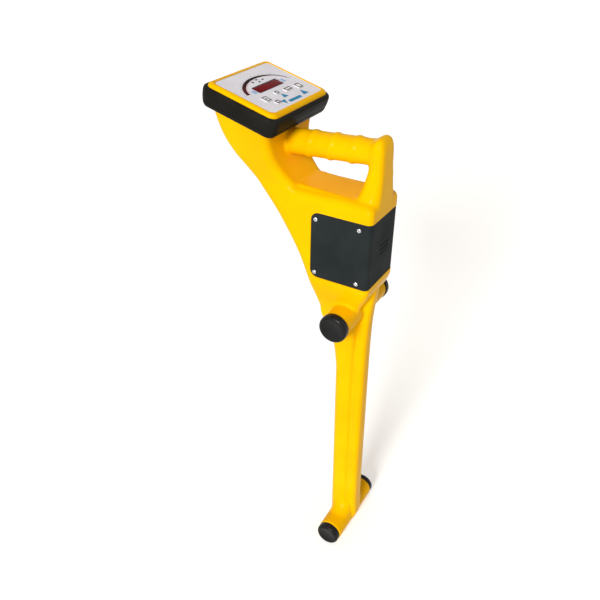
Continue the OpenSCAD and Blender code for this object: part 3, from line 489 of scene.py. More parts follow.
@dataclass
class Effects:
    """Builds the shared shader groups once and places them in materials.

    Attributes:
        fine_detail: Layers of noise in the fine grain.
        tone_detail: Layers of noise in the slow tone.
        rub_turn: Turn of the rub marks about each axis, in radians.
        rub_stretch: How densely the rub marks lie along each axis.
        rub_detail: Layers of noise in the rub marks.
        rub_roughness: Strength of the finer layers of the rub marks.
        rub_level: Noise above which a rub mark shows.
        rub_gain: How fast a rub mark grows above that level.
        dust_detail: Layers of noise in the dust.
        dust_roughness: Strength of the finer layers of the dust.
        dust_patches: Noise from which a patch of dust starts, and at which it is full.
        dust_facing: Upward part of a normal from which dust gathers, and at which it is full.
        dust_shares: Share of the dust on faces that look sideways, and on faces that look up.
        trees: The groups, by effect.
    """

    fine_detail: float = 3.0
    tone_detail: float = 5.0
    rub_turn: tuple[float, float, float] = (0.5, 0.3, 0.8)
    rub_stretch: tuple[float, float, float] = (1.0, 9.0, 1.4)
    rub_detail: float = 6.0
    rub_roughness: float = 0.62
    rub_level: float = 0.63
    rub_gain: float = 9.0
    dust_detail: float = 7.0
    dust_roughness: float = 0.7
    dust_patches: tuple[float, float] = (0.45, 0.75)
    dust_facing: tuple[float, float] = (0.1, 0.9)
    dust_shares: tuple[float, float] = (0.15, 1.0)
    trees: dict[Effect, bpy.types.NodeTree] = field(init=False)

    def __post_init__(self) -> None:
        """Builds every group."""
        self.trees = {
            Effect.GRAIN: self._grain(),
            Effect.WEAR: self._wear(),
            Effect.DUST: self._dust(),
        }

    @staticmethod
    def _group(
        effect: Effect, inputs: Sequence[str], outputs: Sequence[str]
    ) -> tuple[Sheet, bpy.types.Node, bpy.types.Node]:
        """Starts a group with named values going in and out.

        Args:
            effect: Which group.
            inputs: Names of its inputs.
            outputs: Names of its outputs.

        Returns:
            The sheet of the group, its input node and its output node.
        """
        tree = bpy.data.node_groups.new(effect.value, "ShaderNodeTree")
        for name in inputs:
            tree.interface.new_socket(name, in_out="INPUT", socket_type="NodeSocketFloat")
        for name in outputs:
            tree.interface.new_socket(name, in_out="OUTPUT", socket_type="NodeSocketFloat")
        sheet = Sheet(tree)
        return sheet, sheet.node("NodeGroupInput"), sheet.node("NodeGroupOutput")

    def _grain(self) -> bpy.types.NodeTree:
        """Builds the fine grain of a moulded face and the slow change of its tone.

        Returns:
            The group.
        """
        sheet, entry, out = self._group(Effect.GRAIN, ("Fine Scale", "Broad Scale"), ("Height", "Tone"))
        place = sheet.node("ShaderNodeTexCoord").outputs["Object"]
        layers = (("Fine Scale", "Height", self.fine_detail), ("Broad Scale", "Tone", self.tone_detail))
        for scale, result, detail in layers:
            noise = sheet.node("ShaderNodeTexNoise", {"Detail": detail})
            sheet.join(place, noise.inputs["Vector"])
            sheet.join(entry.outputs[scale], noise.inputs["Scale"])
            sheet.join(noise.outputs[0], out.inputs[result])
        return sheet.tree

    def _wear(self) -> bpy.types.NodeTree:
        """Builds thin rub marks: stretched noise that shows only at its peaks.

        Returns:
            The group.
        """
        sheet, entry, out = self._group(Effect.WEAR, ("Scale", "Coverage"), ("Mask",))
        place = sheet.node("ShaderNodeTexCoord").outputs["Object"]
        stretch = sheet.node("ShaderNodeMapping", {"Rotation": self.rub_turn, "Scale": self.rub_stretch})
        noise = sheet.node("ShaderNodeTexNoise", {"Detail": self.rub_detail, "Roughness": self.rub_roughness})
        sheet.join(place, stretch.inputs["Vector"])
        sheet.join(stretch.outputs[0], noise.inputs["Vector"])
        sheet.join(entry.outputs["Scale"], noise.inputs["Scale"])
        peak = sheet.math("SUBTRACT", noise.outputs[0], self.rub_level)
        marks = sheet.math("MULTIPLY", peak, self.rub_gain)
        sheet.join(sheet.math("MULTIPLY", marks, entry.outputs["Coverage"]), out.inputs["Mask"])
        return sheet.tree

    def _dust(self) -> bpy.types.NodeTree:
        """Builds dust that lies in patches on faces that look up.

        Returns:
            The group.
        """
        sheet, entry, out = self._group(Effect.DUST, ("Scale", "Coverage"), ("Mask",))
        place = sheet.node("ShaderNodeTexCoord").outputs["Object"]
        normal = sheet.node("ShaderNodeSeparateXYZ")
        sheet.join(sheet.node("ShaderNodeNewGeometry").outputs["Normal"], normal.inputs[0])
        values = {"Detail": self.dust_detail, "Roughness": self.dust_roughness}
        noise = sheet.node("ShaderNodeTexNoise", values)
        sheet.join(place, noise.inputs["Vector"])
        sheet.join(entry.outputs["Scale"], noise.inputs["Scale"])
        patches = sheet.ranged(noise.outputs[0], self.dust_patches, WHOLE_RANGE)
        upward = sheet.ranged(normal.outputs["Z"], self.dust_facing, self.dust_shares)
        settled = sheet.math("MULTIPLY", patches, upward)
        sheet.join(sheet.math("MULTIPLY", settled, entry.outputs["Coverage"]), out.inputs["Mask"])
        return sheet.tree

    def place(self, sheet: Sheet, effect: Effect, values: dict[str, float]) -> bpy.types.Node:
        """Puts a group into a material.

        Args:
            sheet: The sheet of the material.
            effect: Which group.
            values: Values of its inputs.

        Returns:
            The group node.
        """
        made = sheet.node("ShaderNodeGroup", node_tree=self.trees[effect])
        for name, value in values.items():
            made.inputs[name].default_value = value
        return made


@dataclass(frozen=True)
class Finish:
    """A procedural finish with grain, slow changes of tone, rub marks and dust.

    Attributes:
        slot: Name of the material slot, also the material's name unless name is given.
        base: Main colour.
        tint: Colour that the tone wanders to.
        gloss: Lowest and highest roughness.
        grain: Waves of the grain in a metre.
        grain_depth: Depth of the grain in millimetres.
        broad: Waves of the tone in a metre.
        metal: How metallic it is.
        coat: Strength of a clear coat.
        shine: Level of the mirror-like share.
        wear: Strength of the rub marks.
        worn: Colour of the rub marks.
        dust: Strength of the dust.
        name: Name of the material, when it isn't the slot's.
    """

    slot: str
    base: str
    tint: str
    gloss: tuple[float, float] = (0.35, 0.5)
    grain: float = 900.0
    grain_depth: float = 0.02
    broad: float = 22.0
    metal: float = 0.0
    coat: float = 0.0
    shine: float = 0.5
    wear: float = 0.25
    worn: str = "9A9A98"
    dust: float = 0.1
    name: str = ""

    def colour(self, sheet: Sheet, tone: bpy.types.NodeSocket) -> bpy.types.NodeSocket:
        """Mixes the colour before wear and dust.

        Args:
            sheet: The sheet of the material.
            tone: Slow noise over the surface.

        Returns:
            The colour.
        """
        return sheet.blend(sheet.ranged(tone, TINT_RANGE, WHOLE_RANGE), self.base, self.tint)

    def relief(self, sheet: Sheet, height: bpy.types.NodeSocket) -> bpy.types.NodeSocket:
        """Gives the height that the bump reads, which is the plain grain here."""
        return height

    def material(self, effects: Effects) -> bpy.types.Material:
        """Builds the material.

        Args:
            effects: The shared groups.

        Returns:
            The material.
        """
        made = bpy.data.materials.new(self.name or self.slot)
        made.use_nodes = True
        made.diffuse_color = linear_colour(self.base)
        sheet = Sheet(made.node_tree)
        shader = sheet.node(
            "ShaderNodeBsdfPrincipled",
            {
                "Metallic": self.metal,
                "Specular IOR Level": self.shine,
                "Coat Weight": self.coat,
                "Coat Roughness": COAT_ROUGHNESS,
            },
        )
        grain = effects.place(sheet, Effect.GRAIN, {"Fine Scale": self.grain, "Broad Scale": self.broad})
        wear = effects.place(sheet, Effect.WEAR, {"Scale": self.broad * RUB_SCALE, "Coverage": self.wear})
        dust = effects.place(sheet, Effect.DUST, {"Scale": self.broad * DUST_SCALE, "Coverage": self.dust})
        colour = self.colour(sheet, grain.outputs["Tone"])
        colour = sheet.blend(wear.outputs["Mask"], colour, self.worn)
        colour = sheet.blend(dust.outputs["Mask"], colour, DUST_COLOUR)
        sheet.join(colour, shader.inputs["Base Color"])
        rough = sheet.ranged(grain.outputs["Tone"], GLOSS_RANGE, self.gloss)
        rough = sheet.math("ADD", rough, sheet.math("MULTIPLY", wear.outputs["Mask"], RUBBED_ROUGHNESS))
        rough = sheet.math("ADD", rough, sheet.math("MULTIPLY", dust.outputs["Mask"], DUSTY_ROUGHNESS))
        sheet.join(rough, shader.inputs["Roughness"])
        bump = sheet.node("ShaderNodeBump", {"Strength": 1.0, "Distance": self.grain_depth * MM})
        sheet.join(self.relief(sheet, grain.outputs["Height"]), bump.inputs["Height"])
        sheet.join(bump.outputs["Normal"], shader.inputs["Normal"])
        end = sheet.node("ShaderNodeOutputMaterial")
        sheet.join(shader.outputs["BSDF"], end.inputs["Surface"])
        return made


@dataclass(frozen=True)
class FadingFinish(Finish):
    """A finish that fades along X from one colour to another.

    Attributes:
        fade_to: Colour at the far end.
        fade: Where the fade starts and ends along X, in millimetres.
    """

    fade_to: str = "0C0A0C"
    fade: tuple[float, float] = (0.0, 1.0)

    def colour(self, sheet: Sheet, tone: bpy.types.NodeSocket) -> bpy.types.NodeSocket:
        """Mixes the base colour into the far one along X.

        Args:
            sheet: The sheet of the material.
            tone: Slow noise over the surface.

        Returns:
            The colour.
        """
        place = sheet.node("ShaderNodeSeparateXYZ")
        sheet.join(sheet.node("ShaderNodeTexCoord").outputs["Object"], place.inputs[0])
        share = sheet.ranged(place.outputs["X"], (self.fade[0] * MM, self.fade[1] * MM), WHOLE_RANGE)
        return sheet.blend(share, Finish.colour(self, sheet, tone), self.fade_to)


@dataclass(frozen=True)
class WoundFinish(Finish):
    """A finish of fine wire wound round the X axis.

    Attributes:
        pitch: Distance between two turns, in millimetres.
        grain_share: How much of the grain shows on the turns.
    """

    pitch: float = 0.4
    grain_share: float = 0.2

    def relief(self, sheet: Sheet, height: bpy.types.NodeSocket) -> bpy.types.NodeSocket:
        """Gives the rounded turns of the wire.

        Args:
            sheet: The sheet of the material.
            height: Fine noise, which lies over the turns.

        Returns:
            The height of the turns.
        """
        scale = FULL_TURN / (WAVE_RATE * self.pitch * MM)
        turns = sheet.node("ShaderNodeTexWave", {"Scale": scale}, bands_direction="X")
        sheet.join(sheet.node("ShaderNodeTexCoord").outputs["Object"], turns.inputs["Vector"])
        return sheet.math("ADD", turns.outputs["Fac"], sheet.math("MULTIPLY", height, self.grain_share))


YELLOW_PLASTIC = Finish(
    "body_yellow", "FFC400", "FABA00", gloss=(0.16, 0.26), grain=620.0, grain_depth=0.012, broad=16.0,
    shine=0.03, wear=0.12, worn="E8A400", dust=0.0,
)
BLACK_TRAY = Finish("head_black", "1F2022", "191A1B", gloss=(0.4, 0.55), shine=0.03)
BUMPER_RUBBER = Finish(
    "bumper_rubber", "232321", "1D1D1B", gloss=(0.28, 0.4), grain=1100.0, grain_depth=0.04,
    shine=0.02, wear=0.2, worn="3C3B36", dust=0.02,
)
SEAL_RUBBER = Finish("seal_rubber", "1B1B1C", "121213", gloss=(0.5, 0.65), dust=0.04)
SCREW_STEEL = Finish(
    "screw_steel", "D4D6D8", "B9BCC0", gloss=(0.2, 0.36), grain=2200.0, grain_depth=0.012, broad=220.0,
    metal=1.0, wear=0.2, worn="8E9094", dust=0.03,
)
LABEL_FILM = Finish(
    "label_film", "F1F1FB", "EAEAF5", gloss=(0.34, 0.46), grain=1500.0, grain_depth=0.01, broad=30.0,
    shine=0.1, wear=0.12, worn="D2CFD9", dust=0.02,
)
RED_WINDOW = Finish(
    "window_red", "7E0A0F", "6C080C", gloss=(0.12, 0.2), grain_depth=0.004, broad=60.0, shine=0.02,
    wear=0.03, worn="7E2A2A", dust=0.0,
)
METER_WINDOW = FadingFinish(
    "meter_dark", "5A1218", "470D12", gloss=(0.12, 0.2), grain_depth=0.004, shine=0.015, wear=0.03,
    worn="3C2A2C", dust=0.0, fade_to="140809", fade=(-36.0, -14.0),
)
DISPLAY_BLACK = Finish("display_black", "19191B", "111113")
LAMP_RED = Finish("lamp_red", "B81F1A", "9C1613", gloss=(0.12, 0.2), coat=0.4)
BOARD_GREEN = Finish("board_green", "1F5B34", "1A4C2B", gloss=(0.3, 0.42), broad=70.0)
PILLAR_BRASS = Finish("pillar_brass", "C9A24E", "B48F42", gloss=(0.22, 0.34), metal=1.0, broad=120.0)
KEY_PALE = Finish(
    "key_pale", "F1F0F4", "E9E8ED", gloss=(0.32, 0.44), grain=1600.0, grain_depth=0.012, broad=60.0,
    shine=0.1, wear=0.14, worn="CFCCD4", dust=0.02,
)
COVER_BLACK = Finish(
    "cover_black", "2C3133", "252A2C", gloss=(0.4, 0.52), grain=1300.0, grain_depth=0.06, broad=24.0,
    shine=0.012, wear=0.18, worn="43474A", dust=0.02,
)
SPEAKER_METAL = Finish("speaker_metal", "8C8E92", "77797D", gloss=(0.3, 0.45), metal=1.0, broad=90.0)
INNER_PLASTIC = Finish("inner_plastic", "27282A", "1F2022", gloss=(0.45, 0.6))
CELL_WRAP = Finish("cell_wrap", "30558F", "294A7D", gloss=(0.25, 0.36), coat=0.3, broad=60.0)
FERRITE = Finish("ferrite", "3A3B3F", "303135", gloss=(0.5, 0.7), grain=1800.0, grain_depth=0.05)
COIL_WIRE = WoundFinish("coil_wire", "B06A32", "9A5A29", gloss=(0.28, 0.4), metal=0.6, grain_depth=0.2)
SUPPORT_PLASTIC = Finish("support_plastic", "E3E1DA", "D8D5CC", gloss=(0.45, 0.6))
CAP_BLACK = Finish(
    "cap_black", "1D1D1E", "161617", gloss=(0.26, 0.36), grain=900.0, grain_depth=0.012, broad=40.0,
    shine=0.12, wear=0.16, worn="3E3F41", dust=0.02,
)
LEAD_JACKET = Finish("lead_jacket", "1E1F21", "161719", gloss=(0.45, 0.6))


def ink(name: str, base: str, tint: str) -> Finish:
    """Gives the finish of an ink printed on the label film, or of the painted rose highlight laid on it.

    Args:
        name: Name of the ink.
        base: Main colour.
        tint: Colour that the tone wanders to.

    Returns:
        The finish.
    """
    return Finish(
        "label_film", base, tint, gloss=(0.36, 0.48), grain=1500.0, grain_depth=0.008, broad=120.0,
        shine=0.05, wear=0.06, worn="C9C6CE", dust=0.02, name=name,
    )


INK_BLUE = ink("ink_blue", "2F8FC0", "2883B2")
INK_PALE_BLUE = ink("ink_pale_blue", "B4CDEE", "A6C2E8")
INK_NAVY = ink("ink_navy", "232A55", "1C2248")
INK_GREY = ink("ink_grey", "666C6E", "5A6062")
INK_DARK = ink("ink_dark", "3C3A38", "33312F")
# Painted highlight: the rose band along the meter's inner edge stands in for light on the window's edge
INK_ROSE_PAINTED_HIGHLIGHT = ink("rose_painted_highlight", "E9D3D8", "E2C8CF")


@dataclass
class Workshop:
    """Dresses finished pieces and keeps one material for each finish.

    Attributes:
        effects: The shared shader groups.
        materials: Materials made so far, by finish.
    """

    effects: Effects = field(default_factory=Effects)
    materials: dict[Finish, bpy.types.Material] = field(default_factory=dict)

    def material(self, finish: Finish) -> bpy.types.Material:
        """Gives the material of a finish, made at its first use.

        Args:
            finish: The finish.

        Returns:
            Its material.
        """
        if finish not in self.materials:
            self.materials[finish] = finish.material(self.effects)
        return self.materials[finish]

    def dress(
        self, piece: bpy.types.Object, finish: Finish, body: Body = Body.LOCATOR, replaced: Sequence[str] = ()
    ) -> None:
        """Gives a new piece its finish, its body and the solids that it stands for.

        Args:
            piece: The piece.
            finish: Its finish.
            body: The body that it rides on.
            replaced: Names of the solids that it hides.
        """
        piece.data.materials.clear()
        piece.data.materials.append(self.material(finish))
        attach(piece, body.value)
        if replaced:
            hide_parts(*replaced)
        log.info("%s: %d faces, %s", piece.name, len(piece.data.polygons), finish.slot)

    def dress_solid(self, node: str, finish: Finish) -> None:
        """Gives a solid that keeps its shape its finish.

        Args:
            node: Name of the solid.
            finish: Its finish.
        """
        solid = frame["nodes"][node]
        solid.data.materials.clear()
        solid.data.materials.append(self.material(finish))
        log.info("%s: kept solid, %s", node, finish.slot)


@dataclass(frozen=True)
class Section:
    """A level section of the body.

    Attributes:
        z: Height.
        half_w: Half width.
        back: Lowest Y.
        front: Highest Y.
        back_r: Radius of the back corners.
        front_r: Radius of the front corners.
        slope: Rise of the section along Y, round the head's place.
    """

    z: float
    half_w: float
    back: float
    front: float
    back_r: float
    front_r: float
    slope: float = 0.0

    def lifted(self, outline: Outline) -> Outline:
        """Lifts a flat outline to the height and slope of this section."""
        return [Vector((p.x, p.y, self.z + self.slope * (p.y - HEAD_Y))) for p in outline]

    def ring(self, steps: int) -> Outline:
        """Gives the section as a ring with rounded corners."""
        return self.lifted(
            rounded_outline(self.half_w, self.back, self.front, self.back_r, self.front_r, steps)
        )


HEAD_Y = 133.5
HEAD_Z = 661.0
HEAD_TILT = 15.2
HEAD_TURN = Matrix.Rotation(math.radians(HEAD_TILT), 4, "X")
HEAD_PLACE = Matrix.Translation((0, HEAD_Y * MM, HEAD_Z * MM)) @ HEAD_TURN
ALONG_X = Matrix.Rotation(math.radians(90), 4, "Y")
ALONG_Y = Matrix.Rotation(math.radians(-90), 4, "X")


@dataclass
class CoverShape:
    """Sizes that the rear cover and its recess in the body share, in millimetres."""

    bottom: float = 448.6
    height: float = 86.6
    front: float = 53.5
    sheet: float = 2.5
    corner: float = 10.0
    half_w: float = 36.9
    back: float = 24.4
    bend: float = 6.0
    gap: float = 0.35
    overrun: float = 2.0
    corner_steps: int = 12
    screw_front_in: float = 5.9
    screw_back_in: float = 14.8
    screw_top_in: float = 8.6
    screw_bottom_in: float = 6.4

    @property
    def top(self) -> float:
        """Height of the cover's upper edge."""
        return self.bottom + self.height

    def side_block(self, half_w: float, gap: float) -> bpy.types.Object:
        """Makes a block with the cover's side outline, which runs across the body.

        Args:
            half_w: Half of its width.
            gap: How far it stands out beyond the cover's edges.

        Returns:
            The block.
        """
        low, high, front = self.bottom - gap, self.top + gap, self.front + gap
        back = -self.back - 2 * self.overrun
        radius = self.corner + gap
        outline = [
            Vector((back, low)),
            *corner_arc(front - radius, low + radius, radius, 270, self.corner_steps),
            *corner_arc(front - radius, high - radius, radius, 0, self.corner_steps),
            Vector((back, high)),
        ]
        bm = bmesh.new()
        add_plate(bm, outline, -half_w, half_w)
        # Brings the outline's X and Y to the body's Y and Z
        turn = Matrix(((0, 0, 1, 0), (1, 0, 0, 0), (0, 1, 0, 0), (0, 0, 0, 1)))
        return make_object("cover_side_block", bm, turn)

    def bend_block(self, draw: float, margin: float) -> bpy.types.Object:
        """Makes an upright block that is bent round the body's back.

        Args:
            draw: How far it lies inside the cover's outer face.
            margin: How far it runs past the cover's height.

        Returns:
            The block.
        """
        outline = rounded_outline(
            self.half_w - draw, draw - self.back, self.front + 2 * self.overrun,
            self.bend - draw, self.gap, self.corner_steps,
        )
        bm = bmesh.new()
        add_plate(bm, outline, self.bottom - margin, self.top + margin)
        return make_object("cover_bend_block", bm)

    def screw_places(self) -> list[Matrix]:
        """Gives the place of every screw, with Z pointing out of the cover.

        Returns:
            The places.
        """
        turns = [(side, Matrix.Rotation(side * FULL_TURN / 4, 4, "Y")) for side in (-1, 1)]
        return [
            Matrix.Translation(Vector((side * self.half_w, y, z)) * MM) @ turn
            for side, turn in turns
            for y in (self.screw_back_in - self.back, self.front - self.screw_front_in)
            for z in (self.bottom + self.screw_bottom_in, self.top - self.screw_top_in)
        ]


@dataclass
class BodyShell:
    """The hollow yellow moulding: foot, column, battery box, hand grip and neck, in millimetres."""

    cover: CoverShape
    column_top: float = 300.0
    column_w: float = 32.0
    column_front: float = 20.0
    column_depth: float = 27.0
    column_lean: float = 5.0
    column_corner: float = 9.0
    groove_corner: float = 6.5
    rib_w: float = 26.0
    rib_back: float = 19.0
    rib_overlap: float = 1.5
    rib_round: float = 0.62
    rib_end_round: float = 0.49
    box_bottom: float = 442.0
    box_top: float = 557.0
    box_w: float = 75.0
    box_back: float = 25.0
    box_front: float = 62.0
    box_corner: float = 7.0
    box_edge: float = 11.0
    shoulder_front: float = 134.0
    front_corner: float = 13.0
    neck_back: float = 105.0
    neck_root: float = 81.0
    neck_front: float = 181.0
    neck_w: float = 113.9
    neck_step: float = 3.0
    neck_corner: float = 11.0
    head_h: float = 26.0
    turn_y: float = 78.0
    turn_l: float = 18.0
    grip_d: float = 31.0
    grip_z: float = 601.5
    grip_rise: float = 7.0
    grip_end_y: float = -14.0
    ring_h: float = 1.5
    ring_w: float = 11.0
    ring_lean: float = 8.0
    ring_places: tuple[float, ...] = (17.5, 45.5, 73.5)
    post_w: float = 38.0
    post_top: float = 629.0
    post_round: float = 0.78
    post_reach: float = 0.3
    lower_tube_r: float = 17.8
    lower_tube_l: float = 107.0
    upper_tube_r: float = 18.0
    upper_tube_l: float = 112.0
    upper_tube_y: float = 6.0
    upper_tube_z: float = 398.5
    tube_edge: float = 0.8
    body_wall: float = 3.0
    foot_fillet: float = 26.0
    fillet_inset: float = 1.2
    flare_r: float = 12.0
    flare_start: float = 25.0
    flare_shift: float = 13.0
    bay_low: tuple[float, float, float] = (-37.5, -17.5, 461.6)
    bay_high: tuple[float, float, float] = (37.5, 40.5, 522.2)
    bore_overrun: float = 10.0
    edge_gap: float = 1.0
    column_steps: int = 16
    edge_steps: int = 9
    corner_steps: int = 12
    loft_steps: int = 6
    turn_steps: int = 96
    voxel: float = 1.55
    soften: int = 4
    soften_factor: float = 0.5
    elbow_front: float = 12.0
    elbow_low: float = 583.0
    elbow_fade: float = 8.0
    elbow_soften: int = 60
    # Growth from the column to the box: height, front, back and width
    flare_shares: Rows = (
        (0, 0, 0, 0), (0.24, 0.11, 0.01, 0.07), (0.43, 0.31, 0.05, 0.17), (0.62, 0.55, 0.17, 0.36),
        (0.8, 0.77, 0.46, 0.65), (0.93, 0.92, 0.86, 0.91), (1, 1, 1, 1),
    )
    # Growth from the box's lower edge to its top: height and front
    box_front_shares: Rows = ((0, 0), (0.25, 0.17), (0.46, 0.36), (0.69, 0.6), (0.87, 0.83), (1, 1))
    # Growth of the neck: height, back, front, width, turn towards the head's tilt and corner length
    neck_shares: Rows = (
        (0, 0, 0, 0, 0, 1.6), (0.19, 0.58, 0.26, 0.2, 0, 1.35), (0.4, 0.88, 0.56, 0.45, 0.15, 1.1),
        (0.62, 0.98, 0.79, 0.7, 0.4, 1), (0.82, 1, 0.93, 0.88, 0.75, 1), (1, 1, 1, 1, 1, 1),
    )
    # Rear rib: height up to the box, back from foot to box, width
    rib_shares: Rows = (
        (0.01, -1.3, 0.8), (0.028, -0.15, 0.95), (0.055, 0.3, 1), (0.1, 0.14, 1), (0.15, 0, 1),
        (0.36, -0.12, 1), (0.58, -0.28, 0.97), (0.74, -0.34, 0.9),
        (0.84, -0.25, 0.82), (0.91, 0.1, 0.76), (0.96, 0.6, 0.7), (1.01, 0.9, 0.66),
    )
    # Rear post: height from the box's top to the crown, back, front and width
    post_shares: Rows = (
        (-0.16, 0.02, 0.85, 1.7), (0, 0.02, 0.58, 1.45), (0.17, 0.03, 0.43, 1.2), (0.42, 0.07, 0.3, 1.06),
        (0.68, 0.12, 0.25, 1), (0.84, 0.18, 0.23, 0.97), (0.94, 0.36, 0.17, 0.84), (0.985, 0.6, 0.08, 0.6),
        (1, 0.85, 0, 0.3),
    )

    def front_at(self, z: float) -> float:
        """Gives the reach of the body's front at a height of the box."""
        share = (z - self.box_bottom) / (self.box_top - self.box_bottom)
        return mix(self.box_front, self.shoulder_front, look_up(self._front_rows, share))

    @property
    def _front_rows(self) -> list[list[float]]:
        """The smooth table of the box's front."""
        return smooth_rows(self.box_front_shares, self.loft_steps)

    def column_section(self, share: float) -> Section:
        """Gives the section of the column at a share of its height.

        Args:
            share: Share of the height.

        Returns:
            The section.
        """
        front = self.column_front + self.column_lean * share
        return Section(
            mix(self.lower_tube_r, self.column_top, share), self.column_w / 2,
            front - self.column_depth, front, self.groove_corner, self.column_corner,
        )

    def flare_section(self, row: Sequence[float]) -> Section:
        """Gives the section of the flare for a row of its table.

        Args:
            row: Row of its table.

        Returns:
            The section.
        """
        height, front, back, width = row
        foot = self.column_section(1.0)
        return Section(
            mix(self.column_top, self.box_bottom, height), mix(self.column_w, self.box_w, width) / 2,
            mix(foot.back, -self.box_back, back), mix(foot.front, self.box_front, front),
            mix(self.groove_corner, self.box_corner, height),
            mix(self.column_corner, self.front_corner, height),
        )

    def box_section(self, z: float) -> Section:
        """Gives the section of the battery box at a height."""
        front = self.front_at(z)
        return Section(z, self.box_w / 2, -self.box_back, front, self.box_corner, self.front_corner)

    def neck_section(self, row: Sequence[float]) -> Section:
        """Gives the section of the neck for a row of its table.

        Args:
            row: Row of its table.

        Returns:
            The section.
        """
        height, back, front, width, turn, _corner_l = row
        tilt = math.radians(HEAD_TILT)
        top = HEAD_Z - self.head_h / math.cos(tilt)
        return Section(
            mix(self.box_top + self.neck_step, top, height), mix(self.box_w, self.neck_w, width) / 2,
            mix(self.neck_root, self.neck_back, back),
            mix(self.shoulder_front + self.neck_step, self.neck_front, front),
            self.neck_corner, self.front_corner, math.tan(tilt) * turn,
        )

    def rib_section(self, row: Sequence[float]) -> Section:
        """Gives the section of the rear rib for a row of its table.

        Args:
            row: Row of its table.

        Returns:
            The section.
        """
        height, reach, width = row
        back = mix(-self.rib_back, -self.box_back, reach)
        z = self.box_bottom * height
        front = self.column_section(min(z / self.column_top, 1.0)).back + self.rib_overlap
        half_w = self.rib_w * width / 2
        radius = min(half_w * self.rib_round, self.rib_end_round * (front - back))
        return Section(z, half_w, back, front, radius, radius)

    def post_section(self, row: Sequence[float]) -> Section:
        """Gives the section of the grip's rear post for a row of its table.

        Args:
            row: Row of its table.

        Returns:
            The section.
        """
        height, reach, lead, width = row
        back = mix(-self.box_back, self.grip_end_y, reach)
        front = mix(self.grip_end_y, self.box_front * self.post_reach, lead)
        half_w = self.post_w * width / 2
        radius = min(half_w, (front - back) / 2) * self.post_round
        return Section(mix(self.box_top, self.post_top, height), half_w, back, front, radius, radius)

    def side_turn(self, half_w: float, y: float, length: float, depth: float) -> Outline:
        """Gives the side of a body ring from its front to its back.

        Args:
            half_w: Half width of the ring.
            y: Where the side ends at the back.
            length: Length of the side.
            depth: How far the side turns in at the back.

        Returns:
            The points of the right side.
        """
        points = []
        for i in range(self.corner_steps + 1):
            a = math.radians(90 * i / self.corner_steps)
            along = 1 - math.sin(a) if depth else 1 - i / self.corner_steps
            points.append(Vector((half_w - depth * (1 - math.cos(a)), y + length * along)))
        return points

    def body_ring(self, s: Section, turn: Outline, left_back: Outline) -> Outline:
        """Gives a body ring from its front corners, its sides and the left half of its back.

        Args:
            s: Section of the ring.
            turn: Points of the right side, from front to back.
            left_back: Points of the left half of the back.

        Returns:
            The ring.
        """
        left_turn = [Vector((-p.x, p.y)) for p in turn]
        right_back = [Vector((-p.x, p.y)) for p in reversed(left_back)]
        return s.lifted(
            [
                *corner_arc(s.half_w - s.front_r, s.front - s.front_r, s.front_r, 0, self.corner_steps),
                *corner_arc(s.front_r - s.half_w, s.front - s.front_r, s.front_r, 90, self.corner_steps),
                *left_turn,
                *left_back,
                *right_back,
                *reversed(turn),
            ]
        )

    def straight_ring(self, s: Section) -> Outline:
        """Gives a ring of the column or the box, whose sides run straight.

        Args:
            s: Section of the ring.

        Returns:
            The ring.
        """
        side_back = s.back + s.back_r
        side_l = s.front - s.front_r - side_back
        return self.body_ring(
            s,
            self.side_turn(s.half_w, side_back + side_l / 4, side_l / 2, 0),
            corner_arc(s.back_r - s.half_w, side_back, s.back_r, 180, self.corner_steps),
        )

    def edge_ring(self, turn: float) -> Outline:
        """Gives a ring of the box's rounded upper edge, at a turn in degrees.

        Args:
            turn: Turn round the edge, from upright at 0 to flat at 90.

        Returns:
            The ring.
        """
        a = math.radians(turn)
        s = self.box_section(self.box_top - self.box_edge * (1 - math.sin(a)))
        draw = self.box_edge * (1 - math.cos(a))
        return self.body_ring(
            s,
            self.side_turn(s.half_w, self.turn_y, self.turn_l, draw),
            corner_arc(
                s.back_r + draw - s.half_w, s.back + s.back_r + draw, s.back_r, 180, self.corner_steps
            ),
        )

    def neck_ring(self, row: Sequence[float]) -> Outline:
        """Gives a ring of the neck, whose straight back faces the grip.

        Args:
            row: Row of the neck's table.

        Returns:
            The ring.
        """
        s = self.neck_section(row)
        corner_l = row[-1]
        half_back = s.half_w - self.neck_corner
        gaps = self.corner_steps + 2
        return self.body_ring(
            s,
            self.side_turn(s.half_w, s.back, self.neck_corner * corner_l, self.neck_corner),
            [Vector((half_back * (i / gaps - 1), s.back)) for i in range(1, gaps)],
        )

    def add_outside(self, bm: bmesh.types.BMesh) -> None:
        """Adds the skin from the foot of the column up to the head.

        Args:
            bm: The mesh that takes it.
        """
        heights = [mix(self.box_bottom, self.box_top, row[0]) for row in self._front_rows[1:]]
        straight_top = self.box_top - self.box_edge - self.edge_gap
        steps = self.column_steps
        add_loft(
            bm,
            [
                *(self.straight_ring(self.column_section(i / steps)) for i in range(steps)),
                *(
                    self.straight_ring(self.flare_section(row))
                    for row in smooth_rows(self.flare_shares, self.loft_steps)
                ),
                *(self.straight_ring(self.box_section(z)) for z in heights if z < straight_top),
                *(self.edge_ring(90 * i / self.edge_steps) for i in range(1, self.edge_steps + 1)),
                *(self.neck_ring(row) for row in smooth_rows(self.neck_shares, self.loft_steps)),
            ],
        )

    def add_rib_and_post(self, bm: bmesh.types.BMesh) -> None:
        """Adds the rear rib of the column and the rear post of the grip.

        Args:
            bm: The mesh that takes them.
        """
        for rows, section in ((self.rib_shares, self.rib_section), (self.post_shares, self.post_section)):
            finer = smooth_rows(rows, self.loft_steps)
            add_loft(bm, [section(row).ring(self.corner_steps) for row in finer])

    def grip_radius(self, y: float) -> float:
        """Gives the radius of the grip at a place along it, finger rings included.

        Args:
            y: The place.

        Returns:
            The radius.
        """
        radius = self.grip_d / 2
        for place in self.ring_places:
            share = abs(y - place) / (self.ring_w / 2)
            if share < 1:
                radius += self.ring_h * (1 + math.cos(math.pi * share)) / 2
        return radius

